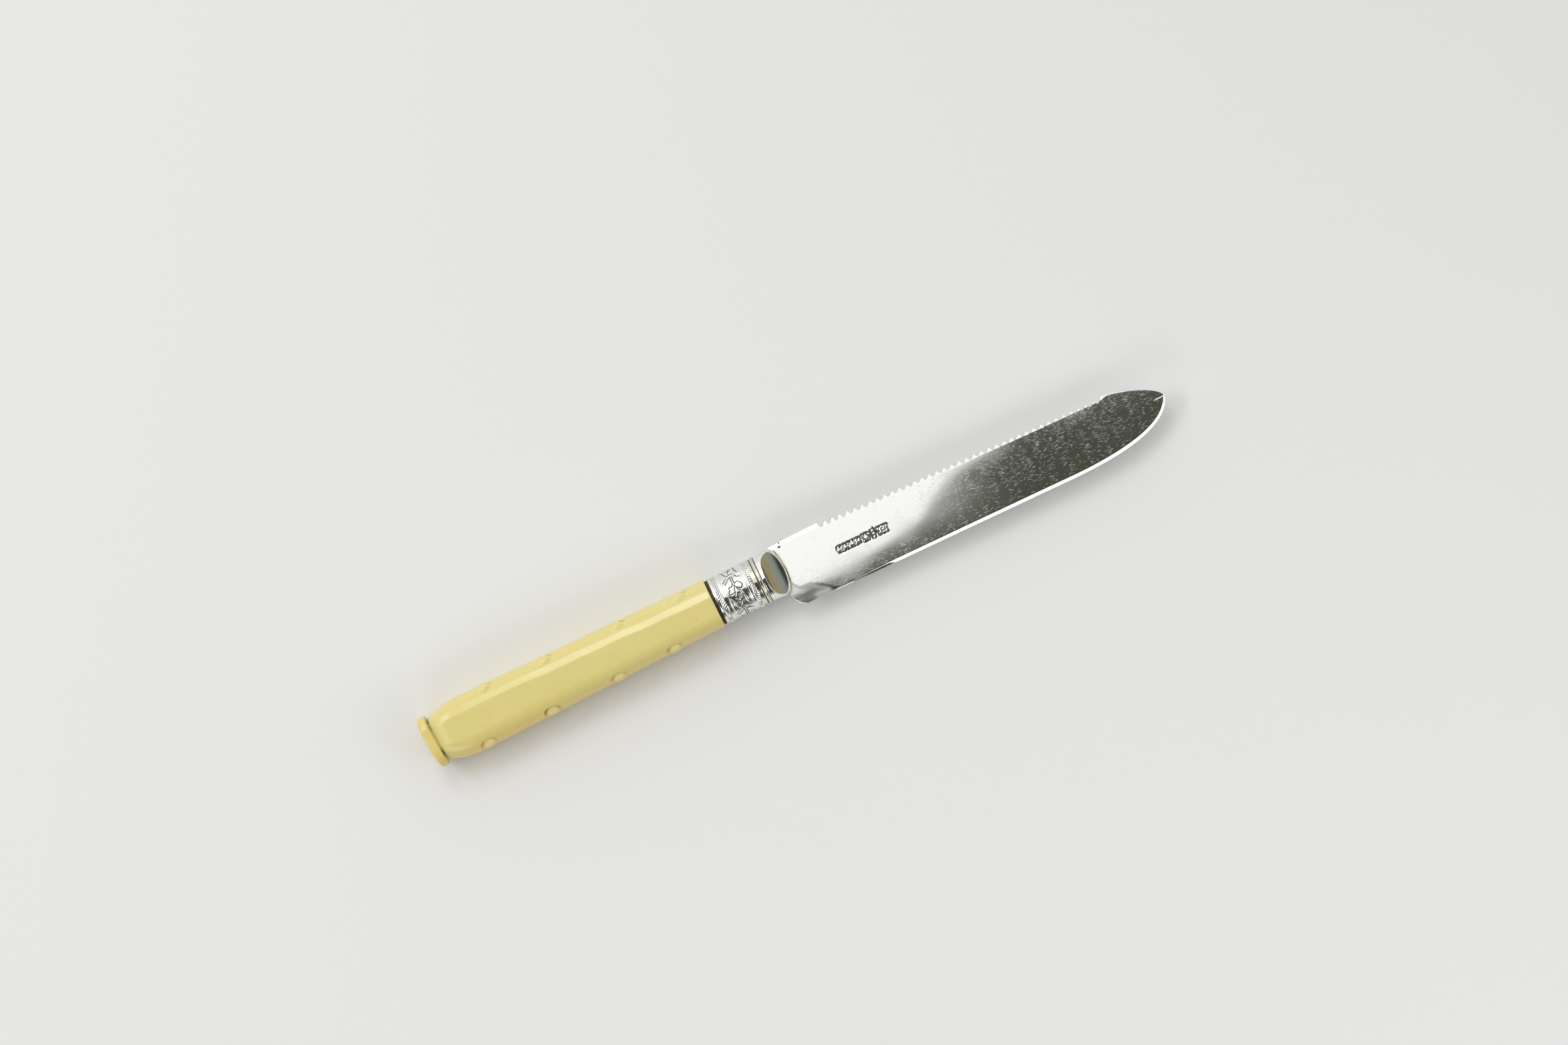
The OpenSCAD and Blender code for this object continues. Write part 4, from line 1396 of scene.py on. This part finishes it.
@dataclass(frozen=True)
class Card:
    """The large card overhead, whose graded lower border the blade mirrors.

    A plate's point at x, y mirrors the card at scale * (x, y) + shift, and each unit of slope moves
    that by twice the card's height. So the card is a grid in the plate's millimetres, bent by the
    slopes of the plate's swell. Its glow is white above the border and falls to the dark of the
    room below it, with a half-bright part beside the border.

    Attributes:
        height: its height above the floor in millimetres.
        scale: millimetres on the card for each one on the plate.
        shift: place on the card, in millimetres, that the row's origin mirrors.
        border_x, border_y: the border's corners on the plate, from the row's origin.
        strength: how bright it is, where 1 is white.
        tint: colour of its darkest part.
    """

    height: float = 1600.0
    scale: float = 2.65
    shift: Tuple[float, float] = (1.7, 58.9)
    border_x: Tuple[float, ...] = (14.7, 18.7, 22.7, 30.7, 34.7, 38.7, 42.7, 46.7, 50.7, 58.7, 66.0)
    border_y: Tuple[float, ...] = (-5.4, -4.5, -3.9, -2.9, -2.0, 0.7, 3.3, 5.1, 5.9, 7.2, 9.5)
    strength: float = 1.05
    tint: Color = (1.0, 0.99, 0.78, 1.0)

    def glow(self, x: Array, y: Array, dark: float) -> Array:
        """How bright the card is at each place, from dark to 1."""
        white = smooth_step(-0.9, 0.8, y - np.interp(x, self.border_x, self.border_y))
        dim = smooth_step(58.0, 37.0, x) * smooth_step(-5.6, -1.8, y) * smooth_step(22.0, 34.0, x)
        tail = smooth_step(66.0, 40.0, x) * smooth_step(-16.0, -6.0, y)
        return np.maximum(dark + 0.20 * dim + 0.045 * tail, white)

    def make(self, dark: Color, pale: Color) -> None:
        """Makes the card for a room of the given dark and pale colours."""
        x = np.concatenate([[-490.0, -100.0, -20.0], np.linspace(-8.0, 125.0, 134)])
        y = np.concatenate([np.linspace(-16.0, 14.0, 76), [30.0, 100.0, 250.0, 470.0]])
        x, y = np.meshgrid(x, y, indexing="ij")
        on_x, on_y = x + LINES.middle[0], y + LINES.middle[1]
        lean_x = slope(lambda at: ToothedBlade.swell(at, on_y), on_x)
        lean_y = slope(lambda at: ToothedBlade.swell(on_x, at), on_y)
        points = joined(self.scale * x + self.shift[0] - 2 * self.height * lean_x,
                        self.scale * y + self.shift[1] - 2 * self.height * lean_y,
                        np.array(self.height)) * MM
        mesh = bpy.data.meshes.new("card_over")
        mesh.from_pydata(points.reshape(-1, 3).tolist(), [],
                         grid_quads(*x.shape, False, False).tolist())
        mesh.attributes.new("glow", "FLOAT", "POINT").data.foreach_set(
            "value", self.glow(x, y, dark[1]).astype(np.float32).ravel())
        material, bench = new_material("card_over")
        bright = bench.mask("glow")
        bench.surface("Emission", {
            "Color": bench.mix(bench.ramp(bright, 0.08, 0.30), self.tint, pale),
            "Strength": bench.times(bright, self.strength)})
        mesh.materials.append(material)
        made = new_object("card_over", mesh)
        made.visible_camera = False


@dataclass(frozen=True)
class Studio:
    """A pale floor, soft light and the camera straight above the knife.

    Attributes:
        lens: focal length in millimetres.
        sensor: width of the camera's sensor in millimetres.
        view_width: width of the whole picture at the knife's middle, in metres.
        aim: the place in metres that the picture's middle shows.
        roll: angle in degrees by which the knife rises to the right in the picture.
        floor: the floor's colour.
        floor_half: half the floor's width in metres.
        dark: colour of the dark part of the room.
        pale: colour of the pale part of the room.
        card: the card overhead.
        panels: two key lamps, the panel on the spine side and a fill.
    """

    lens: float = 85.0
    sensor: float = 36.0
    view_width: float = 0.4092
    aim: Tuple[float, float] = (0.0023, 0.0128)
    roll: float = 25.15
    floor: Color = (0.80, 0.80, 0.79, 1.0)
    floor_half: float = 6.0
    dark: Color = (0.070, 0.068, 0.055, 1.0)
    pale: Color = (1.0, 1.0, 1.0, 1.0)
    card: Card = Card()
    panels: Tuple[Panel, ...] = (
        Panel("panel_key", (-0.05, 0.74, 1.0), (0.25, 0.42), 4.5),
        Panel("panel_butt", (-0.80, 0.38, 1.00), (0.98, 0.24), 4.2),
        Panel("panel_spine", (0.22, -0.40, 0.37), (0.55, 0.24), 1.2, 0.055),
        Panel("panel_fill", (-0.80, -0.80, 0.56), (0.95, 0.5), 1.6))

    def camera(self) -> None:
        """Makes the camera, looking straight down and rolled."""
        data = bpy.data.cameras.new("camera")
        data.lens, data.sensor_width = self.lens, self.sensor
        data.clip_start, data.clip_end = 0.01, 20.0
        made = new_object("camera", data)
        height = LINES.rest_z * MM + self.view_width * self.lens / self.sensor
        turn = Matrix.Rotation(math.radians(-self.roll), 4, "Z")
        made.matrix_world = Matrix.Translation((*self.aim, height)) @ turn
        bpy.context.scene.camera = made

    def ground(self) -> None:
        """Makes the floor."""
        half = self.floor_half
        mesh = bpy.data.meshes.new("floor")
        mesh.from_pydata([(-half, -half, 0), (half, -half, 0), (half, half, 0), (-half, half, 0)],
                         [], [(0, 1, 2, 3)])
        material, bench = new_material("floor")
        bench.surface("BsdfPrincipled", {"Base Color": self.floor, "Roughness": 0.85})
        mesh.materials.append(material)
        new_object("floor", mesh)

    def sky(self) -> None:
        """Sets the world: pale near the horizon and on the toothed side, dark elsewhere."""
        world = bpy.data.worlds.new("studio")
        bpy.context.scene.world = world
        world.use_nodes = True
        bench = Bench(world.node_tree)
        way = bench.add("SeparateXYZ", {0: bench.add("TexCoord").outputs["Generated"]})
        low = bench.times(bench.ramp(way.outputs["Z"], 0.30, 0.12),
                          bench.math("MAXIMUM", bench.ramp(way.outputs["Y"], -0.55, -0.25), 0.2))
        toothed = bench.ramp(way.outputs["Y"], 0.20, 0.38)
        ahead = bench.ramp(way.outputs["X"], 0.50, 0.70)
        pale = bench.math("MAXIMUM", bench.math("MAXIMUM", low, toothed), ahead)
        bench.surface("Background", {"Color": bench.mix(pale, self.dark, self.pale),
                                     "Strength": 1.0}, "OutputWorld")

    def build(self) -> None:
        """Sets up the whole studio."""
        self.camera()
        self.ground()
        self.card.make(self.dark, self.pale)
        for panel in self.panels:
            panel.make()
        self.sky()
        bpy.context.scene.view_settings.view_transform = "Standard"


def dress_node(node: bpy.types.Object, material: bpy.types.Material) -> None:
    """Gives a CAD node that stays a new material in each of its slots."""
    if not node.material_slots:
        node.data.materials.append(material)
    for number in range(len(node.material_slots)):
        node.material_slots[number].material = material


def corners(bounds: Tuple[Vector, Vector]) -> Sequence[Sequence[float]]:
    """The lowest and highest corner as plain lists."""
    return [[float(c) for c in corner] for corner in bounds]


def main() -> None:
    """Builds the pieces in order, from the handle to the point, and the studio round them."""
    logging.basicConfig(level=logging.INFO, format="%(message)s")
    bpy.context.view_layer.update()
    Studio().build()
    effects = Effects.build()
    polished = Silver("polished_silver").build(effects)
    engraved = Silver("engraved_silver", dull=0.11, smear=0.06, scratch_width=0.1,
                      scratch_cover=0.35).build(effects)
    bone = Bone().build(effects)
    resin = Resin().build()
    pieces = ((CarvedHandle().make(bone), "handle", "carved_bone"),
              (EngravedFerrule().make(engraved), "ferrule", "engraved_silver"),
              (Bolster().make(polished), "blade", "polished_silver"),
              (ToothedBlade().make(polished), "blade", "polished_silver"))
    for piece, node, slot in pieces:
        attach(piece, "root")
        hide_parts(node)
        LOG.info("%s stands for %s", piece.name, node)
    dress_node(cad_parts["resin"], resin)


if __name__ == "__main__":
    main()
